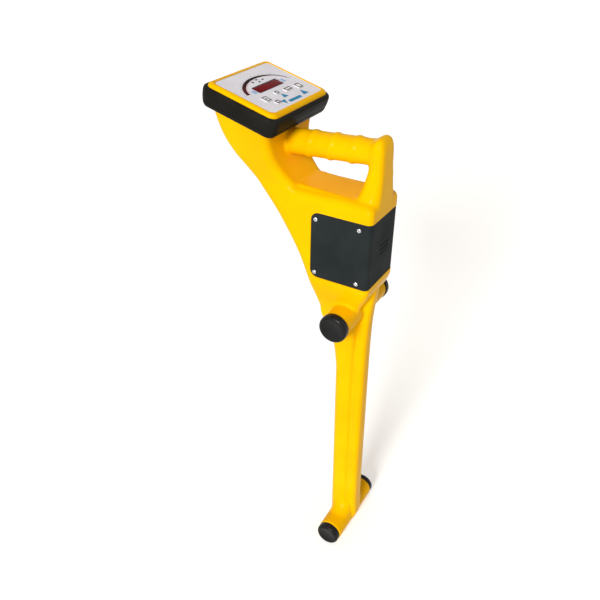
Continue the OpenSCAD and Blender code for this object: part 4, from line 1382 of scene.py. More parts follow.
    @property
    def turn_angles(self) -> list[float]:
        """The angles of the points of a round ring, in radians."""
        return [FULL_TURN * i / self.turn_steps for i in range(self.turn_steps)]

    @property
    def arch_steps(self) -> list[int]:
        """The steps of an arch from left to right, without the one in the middle."""
        return [i for i in range(-self.corner_steps, self.corner_steps + 1) if i]

    def grip_ring(self, y: float) -> Outline:
        """Gives a leaning ring of the grip round its rising axis.

        Args:
            y: Place of the ring along the grip.

        Returns:
            The ring.
        """
        radius = self.grip_radius(y)
        slope = self.grip_rise / (self.neck_back - self.grip_end_y)
        ring = []
        for a in self.turn_angles:
            up = radius * math.cos(a)
            place = y - up * math.tan(math.radians(self.ring_lean))
            height = self.grip_z + slope * (self.neck_back - place) + up
            ring.append(Vector((radius * math.sin(a), place, height)))
        return ring

    def add_grip(self, bm: bmesh.types.BMesh) -> None:
        """Adds the round grip with its finger rings.

        Args:
            bm: The mesh that takes it.
        """
        end_y = self.neck_back + self.body_wall
        count = int(end_y - self.grip_end_y)
        add_loft(bm, [self.grip_ring(mix(self.grip_end_y, end_y, i / count)) for i in range(count + 1)])

    def tube_profile(self, radius: float, length: float) -> list[tuple[float, float]]:
        """Gives the profile of a tube with softened ends, about its middle.

        Args:
            radius: Radius of the tube.
            length: Length of the tube.

        Returns:
            Radius and height of each point.
        """
        end, edge = length / 2, self.tube_edge
        return [
            (0.0, -end), (radius - edge, -end), (radius, edge - end),
            (radius, end - edge), (radius - edge, end), (0.0, end),
        ]

    def add_tubes(self, bm: bmesh.types.BMesh) -> None:
        """Adds both antenna tubes and the flares of the upper one.

        Args:
            bm: The mesh that takes them.
        """
        lower = Matrix.Translation((0, 0, self.lower_tube_r * MM)) @ ALONG_X
        upper = Matrix.Translation((0, self.upper_tube_y * MM, self.upper_tube_z * MM)) @ ALONG_X
        add_turned(bm, self.tube_profile(self.lower_tube_r, self.lower_tube_l), self.turn_steps, lower)
        add_turned(bm, self.tube_profile(self.upper_tube_r, self.upper_tube_l), self.turn_steps, upper)
        neck_r = self.upper_tube_r - self.fillet_inset
        rings = []
        for i in self.arch_steps:
            turn = math.radians(90 * (1 - abs(i) / self.corner_steps))
            spread = 1 - math.cos(turn)
            radius = neck_r + self.flare_r * spread
            x = math.copysign(self.flare_start + self.flare_r * (1 - math.sin(turn)), i)
            y = self.upper_tube_y + self.flare_shift * spread
            ring = [
                Vector((x, y + radius * math.cos(a), self.upper_tube_z + radius * math.sin(a)))
                for a in self.turn_angles
            ]
            rings.append(ring)
        add_loft(bm, rings)

    def add_foot(self, bm: bmesh.types.BMesh) -> None:
        """Adds the web that rises from the lower tube to the column on a fillet.

        Args:
            bm: The mesh that takes it.
        """
        radius = self.lower_tube_r - self.fillet_inset
        rings = []
        for i in self.arch_steps:
            turn = math.radians(90 * i / self.corner_steps)
            x = math.copysign(self.column_w / 2 + self.foot_fillet * (1 - math.cos(turn)), i)
            rise = self.foot_fillet * (1 - abs(math.sin(turn)))
            ring = [
                Vector((
                    x,
                    radius * math.cos(a),
                    self.lower_tube_r + (radius + (rise if math.sin(a) > 0 else 0.0)) * math.sin(a),
                ))
                for a in self.turn_angles
            ]
            rings.append(ring)
        add_loft(bm, rings)

    def openings(self) -> list[bpy.types.Object]:
        """Makes the tools that cut the recess of the cover, the battery bay and the tube bores.

        Returns:
            The tools.
        """
        recess = self.cover.side_block(self.box_w, self.cover.gap)
        carve(recess, self.cover.bend_block(self.cover.sheet, self.box_w))
        bay = bmesh.new()
        add_box(bay, self.bay_low, self.bay_high)
        bores = [make_object("bay_tool", bay), recess]
        for radius, length, y, z in (
            (self.lower_tube_r, self.lower_tube_l, 0.0, self.lower_tube_r),
            (self.upper_tube_r, self.upper_tube_l, self.upper_tube_y, self.upper_tube_z),
        ):
            bore = bmesh.new()
            place = Matrix.Translation((0, y * MM, z * MM)) @ ALONG_X
            profile = self.tube_profile(radius - self.body_wall, length + self.bore_overrun)
            add_turned(bore, profile, self.turn_steps, place)
            bores.append(make_object("bore_tool", bore))
        return bores

    def soften_elbow(self, shell: bpy.types.Object) -> None:
        """Smooths the joint of the grip and its rear post into one elbow.

        Args:
            shell: The skin of the moulding.
        """
        joint = shell.vertex_groups.new(name="elbow")
        for vert in shell.data.vertices:
            inside = min(self.elbow_front - vert.co.y / MM, vert.co.z / MM - self.elbow_low)
            if inside > 0:
                joint.add([vert.index], min(inside / self.elbow_fade, 1.0), "REPLACE")
        soft = shell.modifiers.new("elbow", "SMOOTH")
        soft.factor = self.soften_factor
        soft.iterations = self.elbow_soften
        soft.vertex_group = joint.name
        bake(shell)

    def build(self, workshop: Workshop) -> None:
        """Builds the moulding as one skin with softened joins and dresses it.

        Args:
            workshop: Where pieces get their finish.
        """
        bm = bmesh.new()
        self.add_outside(bm)
        self.add_rib_and_post(bm)
        self.add_grip(bm)
        self.add_tubes(bm)
        self.add_foot(bm)
        shell = make_object("body_shell", bm)
        skin = shell.modifiers.new("skin", "REMESH")
        skin.mode = "VOXEL"
        skin.voxel_size = self.voxel * MM
        soft = shell.modifiers.new("soft", "SMOOTH")
        soft.factor = self.soften_factor
        soft.iterations = self.soften
        bake(shell)
        self.soften_elbow(shell)
        for tool in self.openings():
            carve(shell, tool)
        shade(shell, sharp_angle=50)
        workshop.dress(shell, YELLOW_PLASTIC, replaced=["body_moulding"])


@dataclass
class RearCover:
    """The bent rear cover with its sound slots and screws, in millimetres."""

    cover: CoverShape
    slot_l: float = 23.0
    slot_h: float = 1.6
    slot_step: float = 5.8
    slot_x: float = 5.5
    slot_z: float = 491.0
    edge: float = 0.55
    screw_hole_r: float = 1.7
    head_r: float = 2.7
    head_h: float = 1.8
    shank_r: float = 1.5
    shank_l: float = 10.0
    cross_l: float = 2.8
    cross_w: float = 0.7
    cross_deep: float = 0.9
    dome_start: float = 0.45
    merge_gap: float = 0.001
    flat_angle: float = 1.0
    edge_angle: float = 40.0
    edge_steps: int = 3
    dome_steps: int = 8
    hole_steps: int = 24
    screw_steps: int = 48

    def slot_tool(self) -> bpy.types.Object:
        """Makes the tool that cuts the three sound slots through the back.

        Returns:
            The tool.
        """
        bm = bmesh.new()
        for i in (-1, 0, 1):
            slot = bmesh.new()
            outline = plate_outline(self.slot_l, self.slot_h, self.slot_h / 2)
            add_plate(slot, outline, -self.cover.sheet, 2 * self.cover.sheet)
            place = Vector((self.slot_x, -self.cover.back, self.slot_z + i * self.slot_step)) * MM
            bmesh.ops.transform(slot, matrix=Matrix.Translation(place) @ ALONG_Y, verts=slot.verts)
            add_mesh(bm, slot)
        return make_object("slot_tool", bm)

    def hole_tool(self) -> bpy.types.Object:
        """Makes the tool that drills the screw holes.

        Returns:
            The tool.
        """
        bm = bmesh.new()
        reach = 2 * self.cover.sheet
        profile = pin_profile(self.screw_hole_r, -reach, reach)
        for place in self.cover.screw_places():
            add_turned(bm, profile, self.hole_steps, place)
        return make_object("hole_tool", bm)

    def build_cover(self, workshop: Workshop) -> None:
        """Builds the cover with softened edges.

        Args:
            workshop: Where pieces get their finish.
        """
        cover = self.cover.bend_block(0.0, 0.0)
        cover.name = "rear_cover_shell"
        carve(cover, self.cover.side_block(2 * self.cover.half_w, 0.0), "INTERSECT")
        carve(cover, self.cover.bend_block(self.cover.sheet, self.cover.height))
        carve(cover, self.slot_tool())
        carve(cover, self.hole_tool())
        bm = bmesh.new()
        bm.from_mesh(cover.data)
        bmesh.ops.remove_doubles(bm, verts=bm.verts, dist=self.merge_gap * MM)
        flat = math.radians(self.flat_angle)
        bmesh.ops.dissolve_limit(bm, angle_limit=flat, verts=bm.verts, edges=bm.edges)
        bm.to_mesh(cover.data)
        bm.free()
        soft = cover.modifiers.new("soft", "BEVEL")
        soft.width = self.edge * MM
        soft.segments = self.edge_steps
        soft.limit_method = "ANGLE"
        soft.angle_limit = math.radians(self.edge_angle)
        cover.data.shade_smooth()
        cover.modifiers.new("flat_faces", "WEIGHTED_NORMAL")
        bake(cover)
        workshop.dress(cover, COVER_BLACK, replaced=["rear_cover"])

    def screw(self) -> bpy.types.Object:
        """Makes one pan-head screw with a cross recess, with Z out of its head.

        Returns:
            The screw.
        """
        bm = bmesh.new()
        dome = [
            (self.head_r * math.cos(a), self.head_h * mix(self.dome_start, 1.0, math.sin(a)))
            for a in (math.radians(90 * i / self.dome_steps) for i in range(self.dome_steps))
        ]
        profile = [
            (0.0, -self.shank_l), (self.shank_r, -self.shank_l), (self.shank_r, 0.0), (self.head_r, 0.0),
            *dome, (0.0, self.head_h),
        ]
        add_turned(bm, profile, self.screw_steps, Matrix.Identity(4))
        screw = make_object("screw", bm)
        half_l, half_w = self.cross_l / 2, self.cross_w / 2
        for x, y in ((half_l, half_w), (half_w, half_l)):
            cross = bmesh.new()
            add_box(cross, (-x, -y, self.head_h - self.cross_deep), (x, y, 2 * self.head_h))
            carve(screw, make_object("cross_tool", cross))
        return screw

    def build_screws(self, workshop: Workshop) -> None:
        """Builds the eight screws as one piece.

        Args:
            workshop: Where pieces get their finish.
        """
        pattern = self.screw()
        bm = bmesh.new()
        for place in self.cover.screw_places():
            single = bmesh.new()
            single.from_mesh(pattern.data)
            bmesh.ops.transform(single, matrix=place, verts=single.verts)
            add_mesh(bm, single)
        bpy.data.objects.remove(pattern)
        screws = make_object("cover_screw_set", bm)
        shade(screws, sharp_angle=35)
        workshop.dress(screws, SCREW_STEEL, replaced=["cover_screws"])

    def build(self, workshop: Workshop) -> None:
        """Builds the cover and its screws."""
        self.build_cover(workshop)
        self.build_screws(workshop)


@dataclass
class EndCaps:
    """The black caps on the ends of both antenna tubes, in millimetres."""

    lower_r: float = 17.2
    upper_r: float = 18.9
    lower_bore_r: float = 14.8
    upper_bore_r: float = 15.0
    lower_end: float = 53.5
    upper_end: float = 56.0
    lower_place: tuple[float, float] = (0.0, 17.8)
    upper_place: tuple[float, float] = (6.0, 398.5)
    height: float = 9.5
    edge: float = 4.2
    plug_l: float = 8.0
    slip: float = 0.2
    face_r_share: float = 0.72
    face_sink: float = 0.25
    face_bevel: float = 0.5
    base_edge: float = 0.4
    edge_steps: int = 12
    steps: int = 96

    def profile(self, radius: float, bore_r: float) -> list[tuple[float, float]]:
        """Gives the outline of a cap from its plug to its face.

        Args:
            radius: Radius of the cap.
            bore_r: Radius of the bore that takes its plug.

        Returns:
            Radius and height of each point.
        """
        plug_r = bore_r - self.slip
        arc = corner_arc(radius - self.edge, self.height - self.edge, self.edge, 0, self.edge_steps)
        round_edge = [(p.x, p.y) for p in arc]
        face_r = radius * self.face_r_share
        return [
            (0.0, -self.plug_l), (plug_r, -self.plug_l), (plug_r, 0.0),
            (radius - self.base_edge, 0.0), (radius, self.base_edge),
            *round_edge,
            (face_r + self.face_bevel, self.height), (face_r, self.height - self.face_sink),
            (0.0, self.height - self.face_sink),
        ]

    def build(self, workshop: Workshop) -> None:
        """Builds the four caps.

        Args:
            workshop: Where pieces get their finish.
        """
        for level, radius, bore_r, end, (y, z) in (
            ("lower", self.lower_r, self.lower_bore_r, self.lower_end, self.lower_place),
            ("upper", self.upper_r, self.upper_bore_r, self.upper_end, self.upper_place),
        ):
            for side, hand in (("left", -1), ("right", 1)):
                place = Matrix.Translation(Vector((hand * end, y, z)) * MM)
                bm = bmesh.new()
                turn = Matrix.Rotation(hand * FULL_TURN / 4, 4, "Y")
                add_turned(bm, self.profile(radius, bore_r), self.steps, place @ turn)
                cap = make_object(f"{level}_{side}_cap", bm)
                shade(cap, sharp_angle=40)
                workshop.dress(cap, CAP_BLACK, replaced=[f"{level}_cap_{side}"])


@dataclass
class Head:
    """The tilted head: rubber bumper and yellow bezel, in millimetres from the bezel's face."""

    width: float = 124.5
    depth: float = 95.0
    bezel_corner: float = 9.0
    bezel_edge: float = 5.0
    bezel_h: float = 10.0
    rim: float = 6.5
    rim_edge: float = 0.6
    overlay_corner: float = 6.0
    overlay_bottom: float = -2.2
    ledge_w: float = 5.0
    ledge_corner: float = 14.0
    slip: float = 0.2
    bumper_out: float = 4.6
    bumper_corner: float = 13.0
    bumper_top: float = -4.1
    bumper_bottom: float = -28.0
    tray_in: float = 5.0
    tray_corner: float = 8.0
    corner_steps: int = 14
    edge_steps: int = 8
    loft_steps: int = 3
    # Bumper outline from its foot to its lip: height and reach beyond the bezel
    bumper_shares: Rows = (
        (0, -0.3), (0.012, -0.08), (0.05, 0.2), (0.14, 0.48), (0.26, 0.68), (0.275, 0.64), (0.285, 0.56),
        (0.315, 0.56), (0.325, 0.7), (0.34, 0.76), (0.56, 0.95), (0.7, 1), (0.84, 1), (0.92, 0.88),
        (0.97, 0.62), (1, 0.2),
    )

    def ring(self, out: float, radius: float, z: float) -> Outline:
        """Gives a ring of the head.

        Args:
            out: How far the ring stands out beyond the bezel.
            radius: Radius of its corners.
            z: Height of the ring.

        Returns:
            The ring.
        """
        outline = plate_outline(self.width + 2 * out, self.depth + 2 * out, radius, self.corner_steps)
        return raised(outline, z)

    def build_bumper(self, workshop: Workshop) -> None:
        """Builds the rubber bumper as a closed frame round tray and bezel.

        Args:
            workshop: Where pieces get their finish.
        """
        outer = [
            self.ring(
                self.bumper_out * reach, self.bumper_corner - self.bumper_out * (1 - reach),
                mix(self.bumper_bottom, self.bumper_top, height),
            )
            for height, reach in smooth_rows(self.bumper_shares, self.loft_steps)
        ]
        shelf = -self.bezel_h - self.slip
        inner = [
            self.ring(self.slip, self.bezel_corner + self.slip, self.bumper_top),
            self.ring(self.slip, self.bezel_corner + self.slip, shelf),
            self.ring(self.slip - self.tray_in, self.tray_corner + self.slip, shelf),
            self.ring(self.slip - self.tray_in, self.tray_corner + self.slip, self.bumper_bottom),
        ]
        bm = bmesh.new()
        add_loft(bm, outer + inner, closed=True)
        bumper = make_object("head_bumper_frame", bm, HEAD_PLACE)
        shade(bumper, sharp_angle=50)
        workshop.dress(bumper, BUMPER_RUBBER, replaced=["head_bumper"])

    def build_bezel(self, workshop: Workshop) -> None:
        """Builds the yellow bezel with its rounded rim and the pocket for the overlay.

        Args:
            workshop: Where pieces get their finish.
        """
        turns = [math.radians(90 * i / self.edge_steps) for i in range(self.edge_steps + 1)]
        outer = [self.ring(0.0, self.bezel_corner, -self.bezel_h)]
        for a in turns:
            draw = self.bezel_edge * (1 - math.cos(a))
            outer.append(self.ring(-draw, self.bezel_corner - draw, self.bezel_edge * (math.sin(a) - 1)))
        pocket_out = self.slip - self.rim
        pocket_r = self.overlay_corner + self.slip
        inner = []
        for a in turns:
            spread = self.rim_edge * (1 - math.sin(a))
            inner.append(self.ring(pocket_out + spread, pocket_r + spread, self.rim_edge * (math.cos(a) - 1)))
        ledge_out = -self.rim - self.ledge_w
        inner += [
            self.ring(pocket_out, pocket_r, self.overlay_bottom),
            self.ring(ledge_out, self.ledge_corner, self.overlay_bottom),
            self.ring(ledge_out, self.ledge_corner, -self.bezel_h),
        ]
        bm = bmesh.new()
        add_loft(bm, outer + inner, closed=True)
        bezel = make_object("head_bezel_rim", bm, HEAD_PLACE)
        shade(bezel, sharp_angle=45)
        workshop.dress(bezel, YELLOW_PLASTIC, replaced=["head_bezel"])

    def build(self, workshop: Workshop) -> None:
        """Builds the bumper and the bezel."""
        self.build_bumper(workshop)
        self.build_bezel(workshop)


@dataclass(frozen=True)
class Key:
    """A key of the panel.

    Attributes:
        body: Body that the key rides on, named as its solid is.
        x: Place along the head's X.
        y: Place along the head's Y.
        width: Width of its cap.
        depth: Depth of its cap.
        frame: Finish of the frame printed on its cap.
    """

    body: Body
    x: float
    y: float
    width: float
    depth: float
    frame: Finish


@dataclass
class Panel:
    """The printed panel: overlay, windows, keys and marks, in millimetres from the bezel's face."""

    top: float = -0.7
    bottom: float = -2.2
    print_h: float = 0.06
    window_x: float = 0.0
    window_y: float = 2.46
    window_w: float = 50.0
    window_depth: float = 11.5
    window_corner: float = 1.2
    window_sink: float = 0.2
    window_edge: float = 0.15
    meter_x: float = 0.0
    meter_y: float = -3.485
    meter_rx: float = 45.5
    meter_ry: float = 29.0
    meter_start: float = 172.0
    meter_end: float = 8.0
    meter_start_w: float = 5.4
    meter_end_w: float = 1.4
    key_corner: float = 1.4
    key_proud: float = 0.9
    key_edge: float = 0.5
    key_rim: float = 1.9
    key_dish: float = 0.15
    key_flange: float = 1.0
    key_flange_t: float = 1.0
    key_gap: float = 0.3
    key_least_corner: float = 0.3
    dish_slope: float = 0.4
    stem_r: float = 2.0
    stem_end: float = -5.0
    dot_r: float = 1.5
    bar_start: tuple[float, float] = (-10.5, -34.6)
    bar_end: tuple[float, float] = (15.5, -34.8)
    bar_w: float = 4.4
    patch_gap: float = 5.5
    patch_down: float = 5.0
    patch_up: float = 2.0
    patch_w: float = 6.5
    frame_gap: float = 0.2
    frame_line: float = 0.9
    dash_l: float = 3.8
    dash_w: float = 2.0
    tick_off: float = 1.0
    tick_l: float = 1.5
    long_tick_l: float = 2.6
    tick_w: float = 0.6
    tick_gaps: int = 20
    tick_group: int = 5
    # Where the painted rose highlight along the meter's inner edge starts and ends
    painted_highlight_off: float = 0.6
    painted_highlight_end: float = 1.5
    key_steps: int = 6
    edge_steps: int = 4
    frame_steps: int = 5
    meter_steps: int = 72
    turn_steps: int = 32
    # Printed triangles: place, size and angle of the first corner
    triangles: Rows = ((-16.7, -31.4, 5.4, -90), (-3.6, -23.3, 5.7, 90), (27.6, -31.8, 6.8, 90))
    # Places of the short printed dashes
    dash_places: Rows = ((-0.5, 19.1), (-10.6, 17.0), (8.4, 15.9), (-0.8, 14.1))
    keys: tuple[Key, ...] = (
        Key(Body.POWER_KEY, -33.1155, -17.015, 10.5, 10.4, INK_GREY),
        Key(Body.GAIN_UP_KEY, -6.8015, -13.981, 7.455, 6.032, INK_GREY),
        Key(Body.GAIN_DOWN_KEY, -26.2025, -28.208, 8.505, 6.552, INK_DARK),
        Key(Body.MODE_KEY, 14.88525, -15.908, 13.965, 6.552, INK_DARK),
        Key(Body.FREQUENCY_KEY, 35.51275, -18.204, 10.5, 9.984, INK_DARK),
    )

    def key_ring(self, key: Key, grow: float, z: float) -> Outline:
        """Gives a ring of a key, grown all round, at a height.

        Args:
            key: The key.
            grow: How far the ring is grown.
            z: Height of the ring.

        Returns:
            The ring.
        """
        corner = max(self.key_corner + grow, self.key_least_corner)
        outline = plate_outline(key.width + 2 * grow, key.depth + 2 * grow, corner, self.key_steps)
        return raised(outline, z)

    def key_rings(self, key: Key) -> list[Outline]:
        """Gives the rings of a key from its flange up to its slightly dished crown.

        Args:
            key: The key.

        Returns:
            The rings.
        """
        flange_top = self.bottom - self.key_gap
        crown = self.top + self.key_proud
        edge = self.key_edge
        turns = [math.radians(90 * i / self.edge_steps) for i in range(self.edge_steps + 1)]
        return [
            self.key_ring(key, self.key_flange, flange_top - self.key_flange_t),
            self.key_ring(key, self.key_flange, flange_top),
            self.key_ring(key, 0.0, flange_top),
            *(
                self.key_ring(key, edge * (math.cos(a) - 1), crown - edge * (1 - math.sin(a)))
                for a in turns
            ),
            self.key_ring(key, -self.key_rim, crown),
            self.key_ring(key, -self.key_rim - self.dish_slope, crown - self.key_dish),
        ]

    def build_keys(self, workshop: Workshop) -> None:
        """Builds the five keys, each with a cap, a flange, a stem and a printed frame.

        Args:
            workshop: Where pieces get their finish.
        """
        flange_top = self.bottom - self.key_gap
        crown = self.top + self.key_proud
        stem = pin_profile(self.stem_r, self.stem_end, flange_top)
        for key in self.keys:
            bm = bmesh.new()
            add_loft(bm, self.key_rings(key))
            add_turned(bm, stem, self.turn_steps, Matrix.Identity(4))
            place = HEAD_PLACE @ Matrix.Translation((key.x * MM, key.y * MM, 0))
            cap = make_object(f"{key.body.value}_cap", bm, place)
            shade(cap, sharp_angle=40)
            workshop.dress(cap, KEY_PALE, key.body, [key.body.value])
            bm = bmesh.new()
            inner, outer = self.key_rim, self.key_edge
            heights = ((inner, -1), (outer, -1), (outer, 1), (inner, 1))
            rings = [self.key_ring(key, -draw, crown + side * self.print_h) for draw, side in heights]
            add_loft(bm, rings, closed=True)
            workshop.dress(make_object(f"{key.body.value}_frame", bm, place), key.frame, key.body)

    def arc_point(self, angle: float, draw: float) -> Vector:
        """Gives a point of the meter's curve.

        Args:
            angle: Angle of the point in degrees.
            draw: How far the point lies inside the outer curve.

        Returns:
            The point, flat.
        """
        a = math.radians(angle)
        return Vector((
            self.meter_x + (self.meter_rx - draw) * math.cos(a),
            self.meter_y + (self.meter_ry - draw) * math.sin(a),
        ))

    def meter_w(self, share: float) -> float:
        """Gives the width of the meter at a share of its curve."""
        return mix(self.meter_start_w, self.meter_end_w, share)

    def add_band(
        self, bm: bmesh.types.BMesh, draws: Callable[[float], tuple[float, float]], bottom: float, top: float
    ) -> None:
        """Adds a band along the meter's curve.

        Args:
            bm: The mesh that takes the band.
            draws: Gives, for a share of the curve, how far its outer and inner edges lie inside.
            bottom: Height of its lower face.
            top: Height of its upper face.
        """
        band = bmesh.new()
        bmesh.ops.create_grid(band, x_segments=self.meter_steps, y_segments=1, size=0.5)
        for vert in band.verts:
            share = vert.co.x + 0.5
            outer, inner = draws(share)
            draw = outer if vert.co.y > 0 else inner
            point = self.arc_point(mix(self.meter_start, self.meter_end, share), draw)
            vert.co = Vector((point.x, point.y, bottom)) * MM
        grown = bmesh.ops.extrude_face_region(band, geom=band.faces[:])["geom"]
        risen = [item for item in grown if isinstance(item, bmesh.types.BMVert)]
        bmesh.ops.translate(band, vec=Vector((0, 0, top - bottom)) * MM, verts=risen)
        bmesh.ops.recalc_face_normals(band, faces=band.faces)
        add_mesh(bm, band)

    def build_windows(self, workshop: Workshop) -> None:
        """Builds the red display window and the dark meter.

        Args:
            workshop: Where pieces get their finish.
        """
        face = self.top - self.window_sink
        bm = bmesh.new()
        outline = plate_outline(self.window_w, self.window_depth, self.window_corner)
        add_plate(bm, outline, self.bottom, face, self.window_edge)
        place = HEAD_PLACE @ Matrix.Translation((self.window_x * MM, self.window_y * MM, 0))
        window = make_object("display_window_pane", bm, place)
        shade(window, sharp_angle=35)
        workshop.dress(window, RED_WINDOW, replaced=["display_window"])
        bm = bmesh.new()
        self.add_band(bm, lambda share: (0.0, self.meter_w(share)), self.bottom, face)
        meter = make_object("meter_window_pane", bm, HEAD_PLACE)
        shade(meter, sharp_angle=35)
        workshop.dress(meter, METER_WINDOW, replaced=["meter_window"])

    def add_mark(self, bm: bmesh.types.BMesh, outline: Outline) -> None:
        """Adds a flat printed mark on the overlay."""
        add_plate(bm, outline, self.top - self.print_h, self.top + self.print_h)

    def add_frame(
        self, bm: bmesh.types.BMesh, x: float, y: float, size: tuple[float, float, float], line: float
    ) -> None:
        """Adds a printed frame with rounded corners.

        Args:
            bm: The mesh that takes the frame.
            x: Place of its centre along X.
            y: Place of its centre along Y.
            size: Inner width, inner depth and corner radius.
            line: Width of its line.
        """
        width, depth, radius = size
        low, high = self.top - self.print_h, self.top + self.print_h
        inner = plate_outline(width, depth, radius, self.frame_steps)
        outer = plate_outline(width + 2 * line, depth + 2 * line, radius + line, self.frame_steps)
        rings = [raised(ring, z) for ring, z in ((inner, low), (outer, low), (outer, high), (inner, high))]
        move = Vector((x, y, 0))
        add_loft(bm, [[p + move for p in ring] for ring in rings], closed=True)

    @staticmethod
    def triangle(x: float, y: float, size: float, turn: float) -> Outline:
        """Gives a triangle with equal sides.

        Args:
            x: Place of its centre along X.
            y: Place of its centre along Y.
            size: Distance of its corners from the centre.
            turn: Angle of its first corner in degrees.

        Returns:
            Its corners.
        """
        angles = [math.radians(turn + 120 * i) for i in range(3)]
        return [Vector((x + size * math.cos(a), y + size * math.sin(a))) for a in angles]

    @staticmethod
    def stroke(start: tuple[float, float], end: tuple[float, float], width: float) -> Outline:
        """Gives the outline of a straight stroke.

        Args:
            start: Where it starts.
            end: Where it ends.
            width: Its width.

        Returns:
            Its four corners.
        """
        first, second = Vector(start), Vector(end)
        along = (second - first).normalized()
        side = Vector((-along.y, along.x)) * width / 2
        return [first - side, second - side, second + side, first + side]

    def build_print(self, workshop: Workshop) -> None:
        """Builds the overlay's printed marks and its painted meter highlight, one piece for each ink.

        Args:
            workshop: Where pieces get their finish.
        """
        inks_and_painted_highlight = (INK_BLUE, INK_PALE_BLUE, INK_NAVY, INK_GREY, INK_ROSE_PAINTED_HIGHLIGHT)
        prints = {finish: bmesh.new() for finish in inks_and_painted_highlight}
        for x, y, size, turn in self.triangles:
            self.add_mark(prints[INK_BLUE], self.triangle(x, y, size, turn))
        self.add_mark(prints[INK_BLUE], self.stroke(self.bar_start, self.bar_end, self.bar_w))
        left, right = self.window_x - self.window_w / 2, self.window_x + self.window_w / 2
        low, high = self.window_y - self.patch_down, self.window_y + self.patch_up
        for x in (left - self.patch_gap, right + self.patch_gap):
            self.add_mark(prints[INK_PALE_BLUE], self.stroke((x, low), (x, high), self.patch_w))
        gap = self.frame_gap
        pane = (self.window_w + 2 * gap, self.window_depth + 2 * gap, self.window_corner + gap)
        self.add_frame(prints[INK_NAVY], self.window_x, self.window_y, pane, self.frame_line)
        half_l = self.dash_l / 2
        for x, y in self.dash_places:
            self.add_mark(prints[INK_NAVY], self.stroke((x - half_l, y), (x + half_l, y), self.dash_w))
        for i in range(self.tick_gaps + 1):
            angle = mix(self.meter_start, self.meter_end, i / self.tick_gaps)
            length = self.tick_l if i % self.tick_group else self.long_tick_l
            inner = self.arc_point(angle, -self.tick_off)
            outer = self.arc_point(angle, -self.tick_off - length)
            self.add_mark(prints[INK_GREY], self.stroke(tuple(inner), tuple(outer), self.tick_w))
        # Painted highlight: a thin rose band along the meter window's inner edge
        self.add_band(
            prints[INK_ROSE_PAINTED_HIGHLIGHT],
            lambda share: (self.meter_w(share) + self.painted_highlight_off, self.meter_w(share) + self.painted_highlight_end),
            self.top - self.print_h, self.top + self.print_h,
        )
        for finish, bm in prints.items():
            workshop.dress(make_object(f"print_{finish.name}", bm, HEAD_PLACE), finish)

    def build_power_dot(self, workshop: Workshop) -> None:
        """Builds the dark dot on the power key, which moves with it.

        Args:
            workshop: Where pieces get their finish.
        """
        key = self.keys[0]
        bm = bmesh.new()
        face = self.top + self.key_proud - self.key_dish
        profile = pin_profile(self.dot_r, -self.print_h, self.print_h)
        add_turned(bm, profile, self.turn_steps, Matrix.Translation(Vector((key.x, key.y, face)) * MM))
        workshop.dress(make_object("power_key_dot", bm, HEAD_PLACE), INK_NAVY, key.body)

    def build(self, workshop: Workshop) -> None:
        """Builds the windows, keys and printed marks.

        Args:
            workshop: Where pieces get their finish.
        """
        workshop.dress_solid("panel_overlay", LABEL_FILM)
        self.build_windows(workshop)
        self.build_keys(workshop)
        self.build_print(workshop)
        self.build_power_dot(workshop)


@dataclass
class InnerParts:
    """Solids inside the locator that stay as they are and get a finish."""

    finishes: dict[str, Finish] = field(
        default_factory=lambda: {
            "head_tray": BLACK_TRAY,
            "bezel_seal": SEAL_RUBBER,
            "bezel_screws": SCREW_STEEL,
            "display_module": DISPLAY_BLACK,
            "meter_lamps": LAMP_RED,
            "main_board": BOARD_GREEN,
            "board_pillars": PILLAR_BRASS,
            "board_screws": SCREW_STEEL,
            "key_switches": INNER_PLASTIC,
            "speaker": SPEAKER_METAL,
            "speaker_clamp": INNER_PLASTIC,
            "battery_holder": INNER_PLASTIC,
            "battery_cells": CELL_WRAP,
            "battery_contacts": SCREW_STEEL,
            "upper_ferrite_rod": FERRITE,
            "lower_ferrite_rod": FERRITE,
            "upper_coil": COIL_WIRE,
            "lower_coil": COIL_WIRE,
            "upper_rod_supports": SUPPORT_PLASTIC,
            "lower_rod_supports": SUPPORT_PLASTIC,
            "cap_seals": SEAL_RUBBER,
            "antenna_lead": LEAD_JACKET,
        }
    )

    def build(self, workshop: Workshop) -> None:
        """Dresses every solid."""
        for node, finish in self.finishes.items():
            workshop.dress_solid(node, finish)


